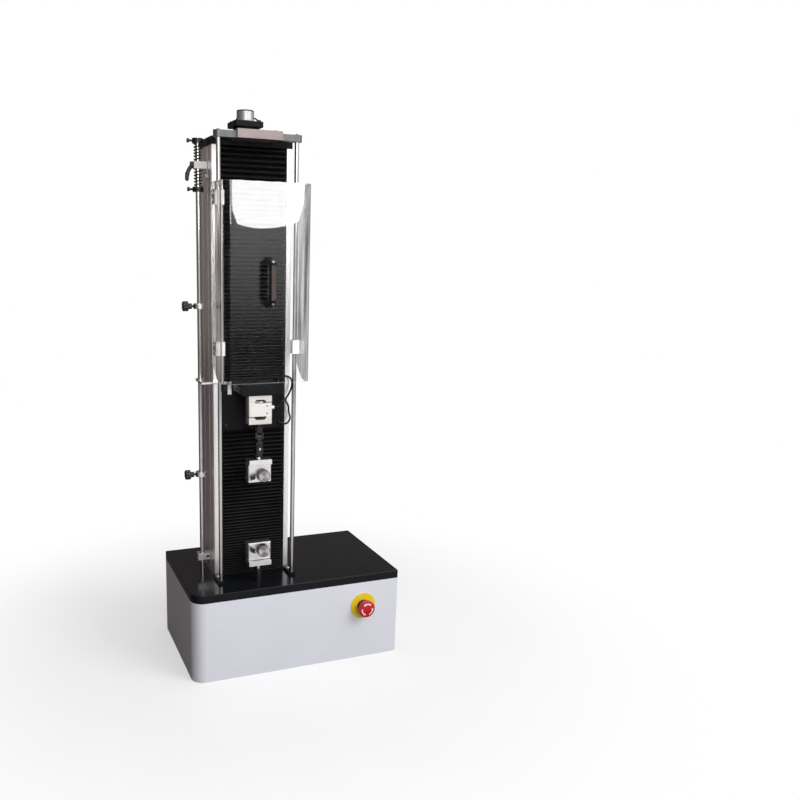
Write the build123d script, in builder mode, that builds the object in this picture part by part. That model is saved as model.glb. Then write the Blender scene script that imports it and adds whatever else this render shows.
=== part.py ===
from build123d import *
from math import cos, pi, radians, sin, tan
import os

# Bench-top universal testing machine with one column, in millimetres.
# X runs to the right, Y to the back and Z up. The origin is the centre of the
# base's footprint on the bench.

os.makedirs("parts", exist_ok=True)

# Base box
base_width = 480.0
base_depth = 292.0
shell_height = 182.0
lid_thickness = 18.0
base_corner = 28.0
base_bend = 4.0
lid_edge = 1.5
fine_edge = 1.0
sheet = 2.0
floor_thickness = 4.0
rim_width = 14.0
seat_gap = 0.3
bench_bolt_radius = 4.5
bench_bolt_inset = 30.0

# Rear wall of the base
vent_count = 7
vent_width = 5.0
vent_height = 60.0
vent_pitch = 12.0
vent_x = 60.0
rear_row_z = 95.0
inlet_inset = 90.0
inlet_width = 50.0
inlet_height = 70.0
inlet_bezel = 4.0
inlet_depth = 40.0
inlet_bezel_thickness = 3.0
socket_width = 26.0
socket_height = 18.0
socket_depth = 17.0
socket_drop = 14.0
blade_length = 9.0
blade_width = 4.0
blade_thickness = 2.0
blade_spread = 7.0
rocker_width = 24.0
rocker_height = 15.0
rocker_rise = 20.0
rocker_depth = 8.0
rocker_crest = 2.0
rocker_tilt = 10.0
rocker_gap = 1.0
rocker_pivot_depth = 4.0
rocker_pin_radius = 2.5
port_width = 40.0
port_height = 16.0
port_pitch = 30.0
port_count = 2
port_shell = 2.0
port_proud = 3.0

# Column
column_inset = 157.0
column_width = 170.0
column_depth = 112.0
screw_setback = 51.0
column_height = 918.0
side_wall = 10.5
back_wall = 8.0
slot_mouth = 8.0
slot_lip = 2.5
slot_floor_width = 14.0
slot_floor_depth = 3.5
slot_positions = (35.0, 77.0)
edge_groove_width = 3.0
edge_groove_depth = 1.5
edge_groove_offset = 8.0
top_plate_thickness = 16.0
top_plate_overhang = 1.0

# Ball screw and its drive
screw_y = 0.0
screw_radius = 10.0
journal_radius = 6.0
bearing_width = 60.0
bearing_height = 22.0
running_gap = 0.05
shoulder_gap = 6.0
belt_height = 16.0
belt_drop = 32.0
belt_thickness = 2.0
pulley_flange = 1.5
pulley_flange_rise = 3.0
screw_pulley_radius = 40.0
motor_pulley_radius = 20.0
belt_span = 138.0
motor_side = 80.0
motor_height = 96.0
motor_shaft_radius = 6.0
motor_corner = 6.0
mount_side = 110.0
mount_thickness = 6.0
mount_drop = 14.0
post_radius = 5.0
post_inset = 9.0
shaft_seat = 15.0
shaft_hole_radius = 20.0

# Rails and carriage
rail_inset = 29.5
rail_width = 15.0
rail_height = 12.5
rail_end_gap = 5.0
block_width = 34.0
block_length = 34.0
block_height = 25.5
block_wall_gap = 2.5
block_pitch = 40.0
rail_clearance = 0.3
nut_radius = 16.0
nut_flange_radius = 25.0
nut_flange_height = 8.0
nut_length = 60.0
carriage_lift = 334.0
plate_height = 102.5
plate_side_gap = 4.5
plate_proud = 7.0
plate_thickness = 22.0
carriage_side_gap = 14.5
carriage_height = 78.0
carriage_rise = 14.0
plate_edge = 3.0

# Bellows
bellows_side_gap = 2.0
bellows_inset = 0.5
bellows_fold = 10.0
bellows_sheet = 2.0
upper_fold_count = 58
lower_fold_count = 46
upper_first_pitch = 5.5
upper_last_pitch = 11.0
lower_first_pitch = 5.0
lower_last_pitch = 9.3

# Crosshead arm and load line
load_reach = 42.0
arm_side_gap = 1.5
arm_overhang = 20.0
arm_height = 24.0
arm_rise = 4.5
arm_corner = 10.0

# Load cell
cell_width = 50.0
cell_depth = 24.0
cell_height = 62.0
cell_window_width = 25.0
cell_window_height = 11.5
cell_window_offset = 15.7
cell_slot = 2.0
cell_stud_radius = 5.0
cell_stud_depth = 8.0
cover_height = 28.0
cover_width = 47.0
cover_thickness = 1.6
gland_radius = 4.5
gland_length = 8.0
gland_rise = 2.0
lead_radius = 1.25
lead_rise = 8.0
cable_radius = 2.0
cable_drop = 90.0
cable_reach = 18.0
cable_inset = 12.0

# Coupling between the load cell and the upper grip
nut_height = 5.5
lock_nut_radius = 7.5
clevis_radius = 9.0
clevis_height = 14.0
ear_thickness = 4.5
ear_radius = 7.0
tongue_thickness = 8.6
pin_radius = 3.0
pin_length = 20.0
pin_drop = 10.0
pin_spacing = 25.0
pin_to_eye = 10.0
eye_height = 8.0
cross_waist = 5.0
grip_stud_radius = 4.5
grip_stud_height = 4.0

# Grips
grip_width = 51.0
yoke_height = 11.0
yoke_edge = 1.0
yoke_reach = 16.0
yoke_width = 50.0
grip_setback = 12.0
back_jaw_thickness = 10.0
front_jaw_thickness = 10.4
jaw_gap = 1.6
jaw_height = 40.0
jaw_top_gap = 0.5
jaw_chamfer = 1.5
knob_radius = 13.5
knob_thickness = 12.0
knob_standoff = 1.0
knob_offset = 6.0
knob_from_tip = 16.0
knob_chamfer = 1.5
knob_hub_radius = 8.0
spindle_radius = 4.0
spindle_gap = 0.1
lock_offset = -17.0
lock_from_tip = 14.0
lock_screw_radius = 2.5
lock_hub_radius = 5.0
lock_hub_length = 9.0
lock_bar_radius = 1.5
lock_bar_length = 17.0
upper_lock_angle = 50.0
lower_lock_angle = -55.0
lower_stud_radius = 4.0
lower_stud_height = 11.5
adapter_height = 29.0
adapter_foot_radius = 9.0
adapter_foot_height = 4.0
adapter_neck_radius = 6.5
adapter_head_radius = 8.0
adapter_head_height = 7.0

# Guard
guard_side_reach = 11.5
guard_front_reach = 70.0
guard_back_reach = 18.0
guard_rest_gap = 9.0
guard_height = 393.0
guard_sheet = 4.0
guard_bend = 20.0
guard_chamfer_y = 42.0
guard_chamfer_z = 38.0
rod_inset = 3.5
rod_standoff = 39.0
rod_radius = 4.5
foot_width = 13.0
foot_height = 6.5
foot_overhang = 6.0
foot_socket = 5.0
slider_depth = 18.0
slider_height = 28.0
slider_wall = 2.5
slider_from_top = 43.0
slider_from_bottom = 50.5
crossbar_height = 13.0
crossbar_depth = 20.0
crossbar_drop = 7.0
crossbar_block_width = 93.0
crossbar_block_wall = 6.0
crossbar_block_cap = 4.0
crossbar_block_tail = 17.0
handle_width = 14.0
handle_length = 100.0
handle_standoff = 36.0
handle_thickness = 11.0
handle_rise = 201.0
handle_corner = 12.0
handle_taper = 10.0
handle_edge = 2.0

# Limit rod
trip_standoff = 17.0
trip_setback = 47.0
trip_radius = 5.0
trip_tail = 6.0
trip_head = 1.0
trip_gap = 0.2
trip_arm_thickness = 4.0
trip_arm_width = 10.0
trip_arm_gap = 1.0
trip_arm_lap = 21.5
trip_tab_height = 24.0
trip_tab_width = 8.0
trip_tab_thickness = 3.0
fork_radius = 11.0
fork_slot = 12.0
bracket_rise = 28.0
bracket_height = 16.0
bracket_depth = 16.0
bracket_width = 22.0
bracket_slit = 2.0
switch_drop = 44.5
switch_height = 14.0
switch_left = 9.5
switch_depth = 16.0
switch_corner = 1.5
spring_wire = 1.1
spring_radius = 7.4
spring_turn_count = 5
upper_spring_length = 35.0
lower_spring_length = 36.0
spring_collar_radius = 11.0
spring_collar_height = 10.0
thumb_stem_radius = 2.0
thumb_stem_length = 8.0
thumb_head_radius = 4.0
thumb_head_length = 4.0
stop_radius = 13.0
stop_height = 11.0
upper_stop_rise = 153.0
lower_stop_drop = 112.0
star_screw_radius = 2.5
star_screw_gap = 4.0
star_hub_radius = 6.0
star_hub_length = 8.0
star_radius = 10.5
star_thickness = 11.0
star_lobe_count = 6
star_bite = 3.0
knob_edge = 0.8
lever_hub_radius = 6.5
lever_hub_length = 6.0
lever_radius = 4.0
lever_reach = 9.0
lever_bow = 3.0
lever_drop = 25.0
ferrule_rise = 0.7
ferrule_length = 4.0
ferrule_drop = 16.0

# Encoder on top of the column
housing_neck_radius = 25.0
housing_flange = 62.0
housing_flange_height = 10.5
housing_height = 36.0
housing_bore = 18.0
housing_corner = 6.0
encoder_radius = 18.0
encoder_height = 23.5
encoder_cable_radius = 1.6
encoder_cable_reach = 9.0
encoder_cable_level = 9.0

# Emergency stop
estop_inset = 87.5
estop_drop = 56.0
estop_disc_radius = 30.0
estop_disc_thickness = 1.2
estop_hole_radius = 11.2
estop_neck_radius = 11.0
estop_ring_radius = 14.5
estop_ring_length = 5.0
estop_block_side = 30.0
estop_block_length = 34.0
estop_neck_length = 24.0
estop_stem_radius = 6.0
estop_stem_gap = 0.1
estop_travel = 4.5
estop_head_radius = 19.5
estop_head_length = 12.0
estop_head_dome = 2.5
estop_skirt_radius = 12.0
estop_skirt_length = 3.5
estop_socket = 6.0

# Control box inside the base
control_width = 100.0
control_depth = 92.0
control_height = 62.0
control_foot_height = 8.0
control_side_gap = 16.0
control_wall_gap = 4.0
control_foot_radius = 5.0
control_foot_inset = 20.0
fin_count = 8
fin_height = 10.0
fin_width = 4.0

# Places along the height, worked out from the sizes above
lid_top = shell_height + lid_thickness
column_top = lid_top + column_height
plate_top = column_top + top_plate_thickness
belt_level = shell_height - belt_drop
control_level = floor_thickness + control_foot_height
port_level = control_level + control_height / 2
carriage_z = lid_top + carriage_lift
carriage_top = carriage_z + plate_height
body_bottom = carriage_z + carriage_rise
body_top = body_bottom + carriage_height
arm_top = carriage_top + arm_rise
arm_bottom = arm_top - arm_height
cell_top = arm_bottom
cell_bottom = cell_top - cell_height
cell_middle = (cell_top + cell_bottom) / 2
gland_level = cell_middle + gland_rise
nut_level = cell_bottom - nut_height
clevis_bottom = nut_level - clevis_height
upper_pin_z = clevis_bottom - pin_drop
lower_pin_z = upper_pin_z - pin_spacing
eye_top = lower_pin_z - pin_to_eye
upper_yoke_top = eye_top - eye_height - grip_stud_height
upper_grip_tip = upper_yoke_top - yoke_height - jaw_height
lower_yoke_bottom = lid_top + adapter_height + lower_stud_height
lower_grip_tip = lower_yoke_bottom + yoke_height + jaw_height
guard_bottom = arm_top + guard_rest_gap
guard_top = guard_bottom + guard_height
slider_levels = (guard_top - slider_from_top, guard_bottom + slider_from_bottom)
handle_level = guard_bottom + handle_rise
crossbar_level = plate_top - crossbar_drop
switch_level = column_top - switch_drop
upper_spring_level = switch_level + switch_height
lower_spring_level = switch_level - lower_spring_length
trip_top = upper_spring_level + upper_spring_length + spring_collar_height + trip_head
trip_bottom = shell_height - trip_tail
bracket_level = lid_top + bracket_rise
upper_stop_level = carriage_top + upper_stop_rise
lower_stop_level = carriage_z - lower_stop_drop
estop_z = shell_height - estop_drop

# Places across the width
column_x = -base_width / 2 + column_inset
column_left = column_x - column_width / 2
column_right = column_x + column_width / 2
column_bay = column_width - 2 * side_wall
rail_spacing = column_bay - 2 * rail_inset
plate_width = column_bay - 2 * plate_side_gap
plate_left = column_x - plate_width / 2
carriage_width = column_bay - 2 * carriage_side_gap
bellows_width = column_bay - 2 * bellows_side_gap
rod_spread = column_width / 2 - rod_inset
guard_half_width = rod_spread + guard_side_reach
trip_x = column_left - trip_standoff
trip_arm_end = plate_left + trip_arm_lap
trip_arm_left = trip_x - fork_radius
arm_width = 2 * (column_x - trip_arm_end - arm_side_gap)
motor_x = column_x + belt_span
inlet_x = -base_width / 2 + inlet_inset
port_x = base_width / 2 - sheet - control_side_gap - control_width / 2
estop_x = base_width / 2 - estop_inset
bench_bolt_span_x = base_width - 2 * bench_bolt_inset
bench_bolt_span_y = base_depth - 2 * bench_bolt_inset

# Places along the depth
base_front = -base_depth / 2
base_back = base_depth / 2
column_front = screw_y - screw_setback
column_back = column_front + column_depth
plate_front = column_front - plate_proud
plate_back = plate_front + plate_thickness
rail_face = column_back - back_wall
carriage_back = rail_face - block_wall_gap - block_height
bellows_front = column_front + bellows_inset
load_y = plate_front - load_reach
arm_front = load_y - arm_overhang
yoke_front = load_y - yoke_reach
grip_back = load_y + grip_setback
front_jaw_back = grip_back - back_jaw_thickness - jaw_gap
front_jaw_front = front_jaw_back - front_jaw_thickness
rod_y = column_front - rod_standoff
guard_front = rod_y - guard_front_reach
guard_back = rod_y + guard_back_reach
foot_front = rod_y - foot_overhang
trip_y = column_front + trip_setback
trip_arm_y = column_front - trip_arm_gap - trip_arm_width / 2
trip_hole_radius = trip_radius + trip_gap
AT_BASE = (Align.CENTER, Align.CENTER, Align.MIN)
AT_TOP = (Align.CENTER, Align.CENTER, Align.MAX)


def save(piece, name):
    piece.part.label = name
    export_step(piece.part, f"parts/{name}.step")


def towards_front(x, y, z):
    return Location(Plane(origin=(x, y, z), x_dir=(1, 0, 0), z_dir=(0, -1, 0)))


def towards_left(x, y, z):
    return Location(Plane(origin=(x, y, z), x_dir=(0, -1, 0), z_dir=(-1, 0, 0)))


def towards_right(x, y, z):
    return Location(Plane(origin=(x, y, z), x_dir=(0, 1, 0), z_dir=(1, 0, 0)))


def bend_radii(points):
    """The largest radius that each corner's two runs allow."""
    spots = [Vector(*p) for p in points]
    radii = []
    for before, corner, after in zip(spots, spots[1:], spots[2:]):
        run_in, run_out = corner - before, after - corner
        half_turn = radians(run_in.get_angle(run_out)) / 2
        radii.append(0.45 * min(run_in.length, run_out.length) / tan(half_turn))
    return radii


def base_outline(inset):
    """The base in plan: one wide corner at the front left and tight bends at the others."""
    with BuildSketch() as outline:
        Rectangle(base_width - 2 * inset, base_depth - 2 * inset)
        fillet(outline.vertices().sort_by(lambda v: v.X + v.Y)[0], base_corner - inset)
        if base_bend > inset:
            fillet(outline.vertices().filter_by(lambda v: v.X > 0 or v.Y > 0), base_bend - inset)
    return outline.sketch


# Sheet-metal shell of the base
with BuildPart() as base_shell:
    with BuildSketch():
        add(base_outline(0))
        add(base_outline(sheet), mode=Mode.SUBTRACT)
    extrude(amount=shell_height)
    for level in (floor_thickness, shell_height - sheet):
        with BuildSketch(Plane.XY.offset(level)):
            add(base_outline(sheet / 2))
            add(base_outline(rim_width), mode=Mode.SUBTRACT)
        extrude(amount=sheet)
    with Locations(towards_front(estop_x, base_front, estop_z)):
        Hole(estop_hole_radius, 2 * sheet)
    with BuildSketch(Plane.XZ.offset(-base_back - sheet)):
        with Locations((vent_x, rear_row_z)):
            with GridLocations(vent_pitch, 0, vent_count, 1):
                Rectangle(vent_width, vent_height)
        with Locations((inlet_x, rear_row_z)):
            Rectangle(inlet_width, inlet_height)
        with Locations((port_x, port_level)):
            with GridLocations(0, port_pitch, 1, port_count):
                Rectangle(port_width, port_height)
    extrude(amount=3 * sheet, mode=Mode.SUBTRACT)
save(base_shell, "base_shell")

# Floor plate, which lies on the bench
with BuildPart() as base_floor:
    with BuildSketch():
        add(base_outline(sheet + seat_gap))
        with GridLocations(bench_bolt_span_x, bench_bolt_span_y, 2, 2):
            Circle(bench_bolt_radius, mode=Mode.SUBTRACT)
    extrude(amount=floor_thickness)
save(base_floor, "base_floor")

# Thick lid that carries the column and the lower grip
with BuildPart() as base_lid:
    with BuildSketch(Plane.XY.offset(shell_height)):
        add(base_outline(0))
        with Locations((column_x, screw_y)):
            Circle(screw_radius + shoulder_gap, mode=Mode.SUBTRACT)
        with Locations((trip_x, trip_y)):
            Circle(trip_hole_radius, mode=Mode.SUBTRACT)
    extrude(amount=lid_thickness)
    outer_edge = base_lid.faces().sort_by(Axis.Z)[-1].outer_wire().edges()
    fillet(outer_edge, lid_edge)
save(base_lid, "base_lid")

# Column extrusion, open at the front
with BuildPart() as column_extrusion:
    with BuildSketch(Plane.XY.offset(lid_top)):
        with Locations((column_x, column_front)):
            Rectangle(column_width, column_depth, align=(Align.CENTER, Align.MIN))
            Rectangle(
                column_width - 2 * side_wall,
                column_depth - back_wall,
                align=(Align.CENTER, Align.MIN),
                mode=Mode.SUBTRACT,
            )
        for side, start in ((1, column_left), (-1, column_right)):
            for distance in slot_positions:
                mouth_x = start + side * slot_lip / 2
                floor_x = start + side * (slot_lip + slot_floor_depth / 2)
                with Locations((mouth_x, column_front + distance)):
                    Rectangle(slot_lip, slot_mouth, mode=Mode.SUBTRACT)
                with Locations((floor_x, column_front + distance)):
                    Rectangle(slot_floor_depth, slot_floor_width, mode=Mode.SUBTRACT)
            with Locations((start + side * edge_groove_depth / 2, column_front + edge_groove_offset)):
                Rectangle(edge_groove_depth, edge_groove_width, mode=Mode.SUBTRACT)
    extrude(amount=column_height)
save(column_extrusion, "column_extrusion")

# Plate that closes the top of the column
with BuildPart() as column_top_plate:
    with BuildSketch(Plane.XY.offset(column_top)):
        with Locations((column_x, (column_front + column_back) / 2)):
            Rectangle(column_width + 2 * top_plate_overhang, column_depth + 2 * top_plate_overhang)
        with Locations((column_x, screw_y)):
            Circle(journal_radius + shoulder_gap, mode=Mode.SUBTRACT)
    extrude(amount=top_plate_thickness)
    outer_edge = column_top_plate.faces().sort_by(Axis.Z)[-1].outer_wire().edges()
    chamfer(outer_edge, top_plate_overhang)
save(column_top_plate, "column_top_plate")

# Bearing blocks of the ball screw, one at each end of the column
with BuildPart() as screw_bearings:
    for level in (lid_top, column_top - bearing_height):
        with BuildSketch(Plane.XY.offset(level)):
            with Locations((column_x, screw_y)):
                Rectangle(bearing_width, bearing_width)
                Circle(journal_radius + running_gap, mode=Mode.SUBTRACT)
        extrude(amount=bearing_height)
    chamfer(screw_bearings.edges().filter_by(Axis.Z), edge_groove_width)
save(screw_bearings, "screw_bearings")

# Two linear rails on the column's back wall
with BuildPart() as linear_rails:
    rail_length = column_height - 2 * bearing_height - 2 * rail_end_gap
    with BuildSketch(Plane.XY.offset(lid_top + bearing_height + rail_end_gap)):
        with Locations((column_x, rail_face)):
            with GridLocations(rail_spacing, 0, 2, 1):
                Rectangle(rail_width, rail_height, align=(Align.CENTER, Align.MAX))
                for side in (-1, 1):
                    with Locations((side * rail_width / 2, -rail_height / 2)):
                        Circle(rail_height / 5, mode=Mode.SUBTRACT)
    extrude(amount=rail_length)
save(linear_rails, "linear_rails")


def bellows_outline(bottom, top, folds, first_pitch, last_pitch):
    """Zigzag of one pleated cover in the YZ plane, with folds that open evenly."""
    pitches = [first_pitch + (last_pitch - first_pitch) * i / (folds - 1) for i in range(folds)]
    stretch = (top - bottom) / sum(pitches)
    level = bottom
    front = [(bellows_front + bellows_fold, bottom)]
    for pitch in pitches:
        front.append((bellows_front, level + stretch * pitch / 2))
        level += stretch * pitch
        front.append((bellows_front + bellows_fold, level))
    back = [(y + bellows_sheet, z) for y, z in reversed(front)]
    return front + back


# Pleated covers above and below the crosshead
for name, bottom, top, folds, first_pitch, last_pitch in (
    ("upper_bellows", carriage_top, column_top, upper_fold_count, upper_first_pitch, upper_last_pitch),
    ("lower_bellows", lid_top, carriage_z, lower_fold_count, lower_first_pitch, lower_last_pitch),
):
    with BuildPart() as bellows:
        with BuildSketch(Plane.YZ.offset(column_x - bellows_width / 2)):
            with BuildLine():
                Polyline(bellows_outline(bottom, top, folds, first_pitch, last_pitch), close=True)
            make_face()
        extrude(amount=bellows_width)
    save(bellows, name)

# Ball screw, with its belt pulley below the lid
with BuildPart() as ball_screw:
    screw_bottom = belt_level - pulley_flange
    screw_end = plate_top + housing_height - housing_flange_height
    threaded_bottom = lid_top + bearing_height + shoulder_gap
    threaded_top = column_top - bearing_height - shoulder_gap
    with Locations((column_x, screw_y, screw_bottom)):
        Cylinder(journal_radius, screw_end - screw_bottom, align=AT_BASE)
    with Locations((column_x, screw_y, threaded_bottom)):
        Cylinder(screw_radius, threaded_top - threaded_bottom, align=AT_BASE)
    for level, height, radius in (
        (belt_level - pulley_flange, pulley_flange, screw_pulley_radius + pulley_flange_rise),
        (belt_level, belt_height, screw_pulley_radius),
        (belt_level + belt_height, pulley_flange, screw_pulley_radius + pulley_flange_rise),
    ):
        with BuildSketch(Plane.XY.offset(level)):
            with Locations((column_x, screw_y)):
                Circle(radius)
                Circle(journal_radius + running_gap, mode=Mode.SUBTRACT)
        extrude(amount=height)
save(ball_screw, "ball_screw")

# Motor shaft with its pulley
with BuildPart() as motor_pulley:
    mount_top = belt_level - mount_drop + mount_thickness
    shaft_bottom = mount_top - mount_thickness - shaft_seat
    with Locations((motor_x, screw_y, shaft_bottom)):
        Cylinder(
            motor_shaft_radius, belt_level + belt_height + pulley_flange - shaft_bottom, align=AT_BASE
        )
    for level, height, radius in (
        (belt_level - pulley_flange, pulley_flange, motor_pulley_radius + pulley_flange_rise),
        (belt_level, belt_height, motor_pulley_radius),
        (belt_level + belt_height, pulley_flange, motor_pulley_radius + pulley_flange_rise),
    ):
        with BuildSketch(Plane.XY.offset(level)):
            with Locations((motor_x, screw_y)):
                Circle(radius)
                Circle(motor_shaft_radius + running_gap, mode=Mode.SUBTRACT)
        extrude(amount=height)
save(motor_pulley, "motor_pulley")

# Motor, hung below its mounting plate
with BuildPart() as drive_motor:
    motor_top = mount_top - mount_thickness
    with BuildSketch(Plane.XY.offset(motor_top - motor_height)):
        with Locations((motor_x, screw_y)):
            RectangleRounded(motor_side, motor_side, motor_corner)
    extrude(amount=motor_height)
    with Locations((motor_x, screw_y, motor_top)):
        Hole(motor_shaft_radius + running_gap, shaft_seat + sheet)
save(drive_motor, "drive_motor")

# Plate and posts that hang the motor from the lid
with BuildPart() as motor_mount:
    with BuildSketch(Plane.XY.offset(motor_top)):
        with Locations((motor_x, screw_y)):
            Rectangle(mount_side, mount_side)
            Circle(shaft_hole_radius, mode=Mode.SUBTRACT)
    extrude(amount=mount_thickness)
    with BuildSketch(Plane.XY.offset(mount_top)):
        with Locations((motor_x, screw_y)):
            with GridLocations(mount_side - 2 * post_inset, mount_side - 2 * post_inset, 2, 2):
                Circle(post_radius)
    extrude(amount=shell_height - mount_top)
save(motor_mount, "motor_mount")

# Toothed belt between the two pulleys
with BuildPart() as drive_belt:
    belt_inset = pulley_flange / 3
    with BuildSketch(Plane.XY.offset(belt_level + belt_inset)):
        for reach, mode in ((running_gap + belt_thickness, Mode.ADD), (running_gap, Mode.SUBTRACT)):
            with BuildSketch(mode=mode):
                with Locations((column_x, screw_y)):
                    Circle(screw_pulley_radius + reach)
                with Locations((motor_x, screw_y)):
                    Circle(motor_pulley_radius + reach)
                make_hull()
    extrude(amount=belt_height - 2 * belt_inset)
save(drive_belt, "drive_belt")

# Control box with cooling fins, feet and two rear sockets
with BuildPart() as control_unit:
    control_back = base_back - sheet - control_wall_gap
    control_mid = control_back - control_depth / 2
    control_top = control_level + control_height
    with Locations((port_x, control_mid, control_level)):
        Box(control_width, control_depth, control_height, align=AT_BASE)
    with Locations((port_x, control_mid, control_top)):
        with GridLocations(control_width / fin_count, 0, fin_count, 1):
            Box(fin_width, control_depth, fin_height, align=AT_BASE)
    with Locations((port_x, control_mid, floor_thickness)):
        with GridLocations(
            control_width - 2 * control_foot_inset, control_depth - 2 * control_foot_inset, 2, 2
        ):
            Cylinder(control_foot_radius, control_foot_height, align=AT_BASE)
    port_reach = sheet + control_wall_gap + port_proud
    with BuildSketch(Plane.XZ.offset(-control_back)):
        with Locations((port_x, port_level)):
            with GridLocations(0, port_pitch, 1, port_count):
                Rectangle(port_width - 2 * seat_gap, port_height - 2 * seat_gap)
    extrude(amount=-port_reach)
    with BuildSketch(Plane.XZ.offset(-control_back)):
        with Locations((port_x, port_level)):
            with GridLocations(0, port_pitch, 1, port_count):
                Rectangle(
                    port_width - 2 * seat_gap - 2 * port_shell,
                    port_height - 2 * seat_gap - 2 * port_shell,
                )
    extrude(amount=-port_reach, mode=Mode.SUBTRACT)
save(control_unit, "control_unit")

# Mains inlet with its socket and the frame of the power switch
with BuildPart() as power_inlet:
    socket_z = rear_row_z - socket_drop
    rocker_z = rear_row_z + rocker_rise
    inlet_face = base_back + inlet_bezel_thickness
    with Locations((inlet_x, base_back, rear_row_z)):
        Box(
            inlet_width + 2 * inlet_bezel,
            inlet_bezel_thickness,
            inlet_height + 2 * inlet_bezel,
            align=(Align.CENTER, Align.MIN, Align.CENTER),
        )
        Box(
            inlet_width - 2 * seat_gap,
            inlet_depth,
            inlet_height - 2 * seat_gap,
            align=(Align.CENTER, Align.MAX, Align.CENTER),
        )
    with Locations((inlet_x, inlet_face, socket_z)):
        Box(
            socket_width,
            socket_depth,
            socket_height,
            align=(Align.CENTER, Align.MAX, Align.CENTER),
            mode=Mode.SUBTRACT,
        )
    with Locations((inlet_x, inlet_face - socket_depth, socket_z)):
        for offset_x, offset_z in ((-blade_spread, -1.0), (0.0, 1.0), (blade_spread, -1.0)):
            with Locations((offset_x, 0, offset_z * blade_width / 2)):
                Box(
                    blade_thickness,
                    blade_length,
                    blade_width,
                    align=(Align.CENTER, Align.MIN, Align.CENTER),
                )
    with Locations((inlet_x, inlet_face, rocker_z)):
        Box(
            rocker_width + rocker_gap,
            rocker_depth + 2 * rocker_pivot_depth,
            rocker_height + 2 * rocker_gap,
            align=(Align.CENTER, Align.MAX, Align.CENTER),
            mode=Mode.SUBTRACT,
        )
save(power_inlet, "power_inlet")

# Rocker of the power switch, tipped to its off side
with BuildPart() as power_rocker:
    rocker_y = inlet_face - rocker_pivot_depth
    tipped = Plane(
        origin=(inlet_x - rocker_width / 2, rocker_y, rocker_z),
        x_dir=(0, cos(radians(rocker_tilt)), sin(radians(rocker_tilt))),
        z_dir=(1, 0, 0),
    )
    with BuildSketch(tipped):
        with BuildLine():
            Polyline(
                (-rocker_depth / 2, -rocker_height / 2),
                (rocker_depth / 2, -rocker_height / 2),
                (rocker_depth / 2 - rocker_crest, 0),
                (rocker_depth / 2, rocker_height / 2),
                (-rocker_depth / 2, rocker_height / 2),
                close=True,
            )
        make_face()
    extrude(amount=rocker_width)
    with Locations((inlet_x, rocker_y, rocker_z)):
        Cylinder(rocker_pin_radius, rocker_width + rocker_gap / 2, rotation=(0, 90, 0))
save(power_rocker, "power_rocker")

# Plain disc behind the emergency stop
with BuildPart() as estop_disc:
    with BuildSketch(Plane.XZ.offset(-base_front)):
        with Locations((estop_x, estop_z)):
            Circle(estop_disc_radius)
            Circle(estop_hole_radius, mode=Mode.SUBTRACT)
    extrude(amount=estop_disc_thickness)
save(estop_disc, "estop_disc")

# Threaded body and contact block of the emergency stop
with BuildPart() as estop_collar:
    disc_face = base_front - estop_disc_thickness
    stem_hole = estop_stem_radius + estop_stem_gap
    with Locations(towards_front(estop_x, disc_face, estop_z)):
        Cylinder(estop_ring_radius, estop_ring_length, align=AT_BASE)
        Cylinder(estop_neck_radius, estop_neck_length, align=AT_TOP)
    ring_face = disc_face - estop_ring_length
    chamfer(estop_collar.edges().group_by(Axis.Y)[0], lid_edge)
    with Locations(towards_front(estop_x, disc_face + estop_neck_length, estop_z)):
        Box(estop_block_side, estop_block_side, estop_block_length, align=AT_TOP)
    with Locations(towards_front(estop_x, ring_face, estop_z)):
        Hole(stem_hole, estop_ring_length + estop_neck_length + estop_block_length / 2)
save(estop_collar, "estop_collar")

# Push stem and mushroom head of the emergency stop
with BuildPart() as estop_stem:
    head_back = ring_face - estop_travel - seat_gap - estop_skirt_length
    stem_end = disc_face + estop_neck_length
    with Locations(towards_front(estop_x, stem_end, estop_z)):
        Cylinder(estop_stem_radius, stem_end - head_back + estop_socket, align=AT_BASE)
save(estop_stem, "estop_stem")

with BuildPart() as estop_head:
    with BuildSketch(Plane(origin=(estop_x, head_back, estop_z), x_dir=(1, 0, 0), z_dir=(0, 0, 1))):
        with BuildLine():
            rim = -estop_head_length + estop_head_dome
            Polyline(
                (0, -estop_head_length),
                (0, -estop_socket - seat_gap),
                (stem_hole, -estop_socket - seat_gap),
                (stem_hole, estop_skirt_length),
                (estop_skirt_radius, estop_skirt_length),
                (estop_skirt_radius, 0),
                (estop_head_radius, -estop_head_dome),
                (estop_head_radius, rim),
            )
            dome_radius = (estop_head_radius**2 + estop_head_dome**2) / (2 * estop_head_dome)
            RadiusArc((estop_head_radius, rim), (0, -estop_head_length), dome_radius)
        make_face()
    revolve(axis=Axis((estop_x, head_back, estop_z), (0, 1, 0)))
save(estop_head, "estop_head")

# Carriage that runs on the rails and carries the crosshead
with BuildPart() as crosshead_carriage:
    with Locations((column_x, plate_front, carriage_z)):
        Box(plate_width, plate_thickness, plate_height, align=(Align.CENTER, Align.MIN, Align.MIN))
    chamfer(crosshead_carriage.edges().filter_by(Axis.Z).group_by(Axis.Y)[0], plate_edge)
    with Locations((column_x, plate_back, body_bottom)):
        Box(
            carriage_width,
            carriage_back - plate_back,
            carriage_height,
            align=(Align.CENTER, Align.MIN, Align.MIN),
        )
    with Locations((column_x, screw_y, body_bottom)):
        Cylinder(nut_radius + running_gap, carriage_height, align=AT_BASE, mode=Mode.SUBTRACT)
save(crosshead_carriage, "crosshead_carriage")

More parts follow.
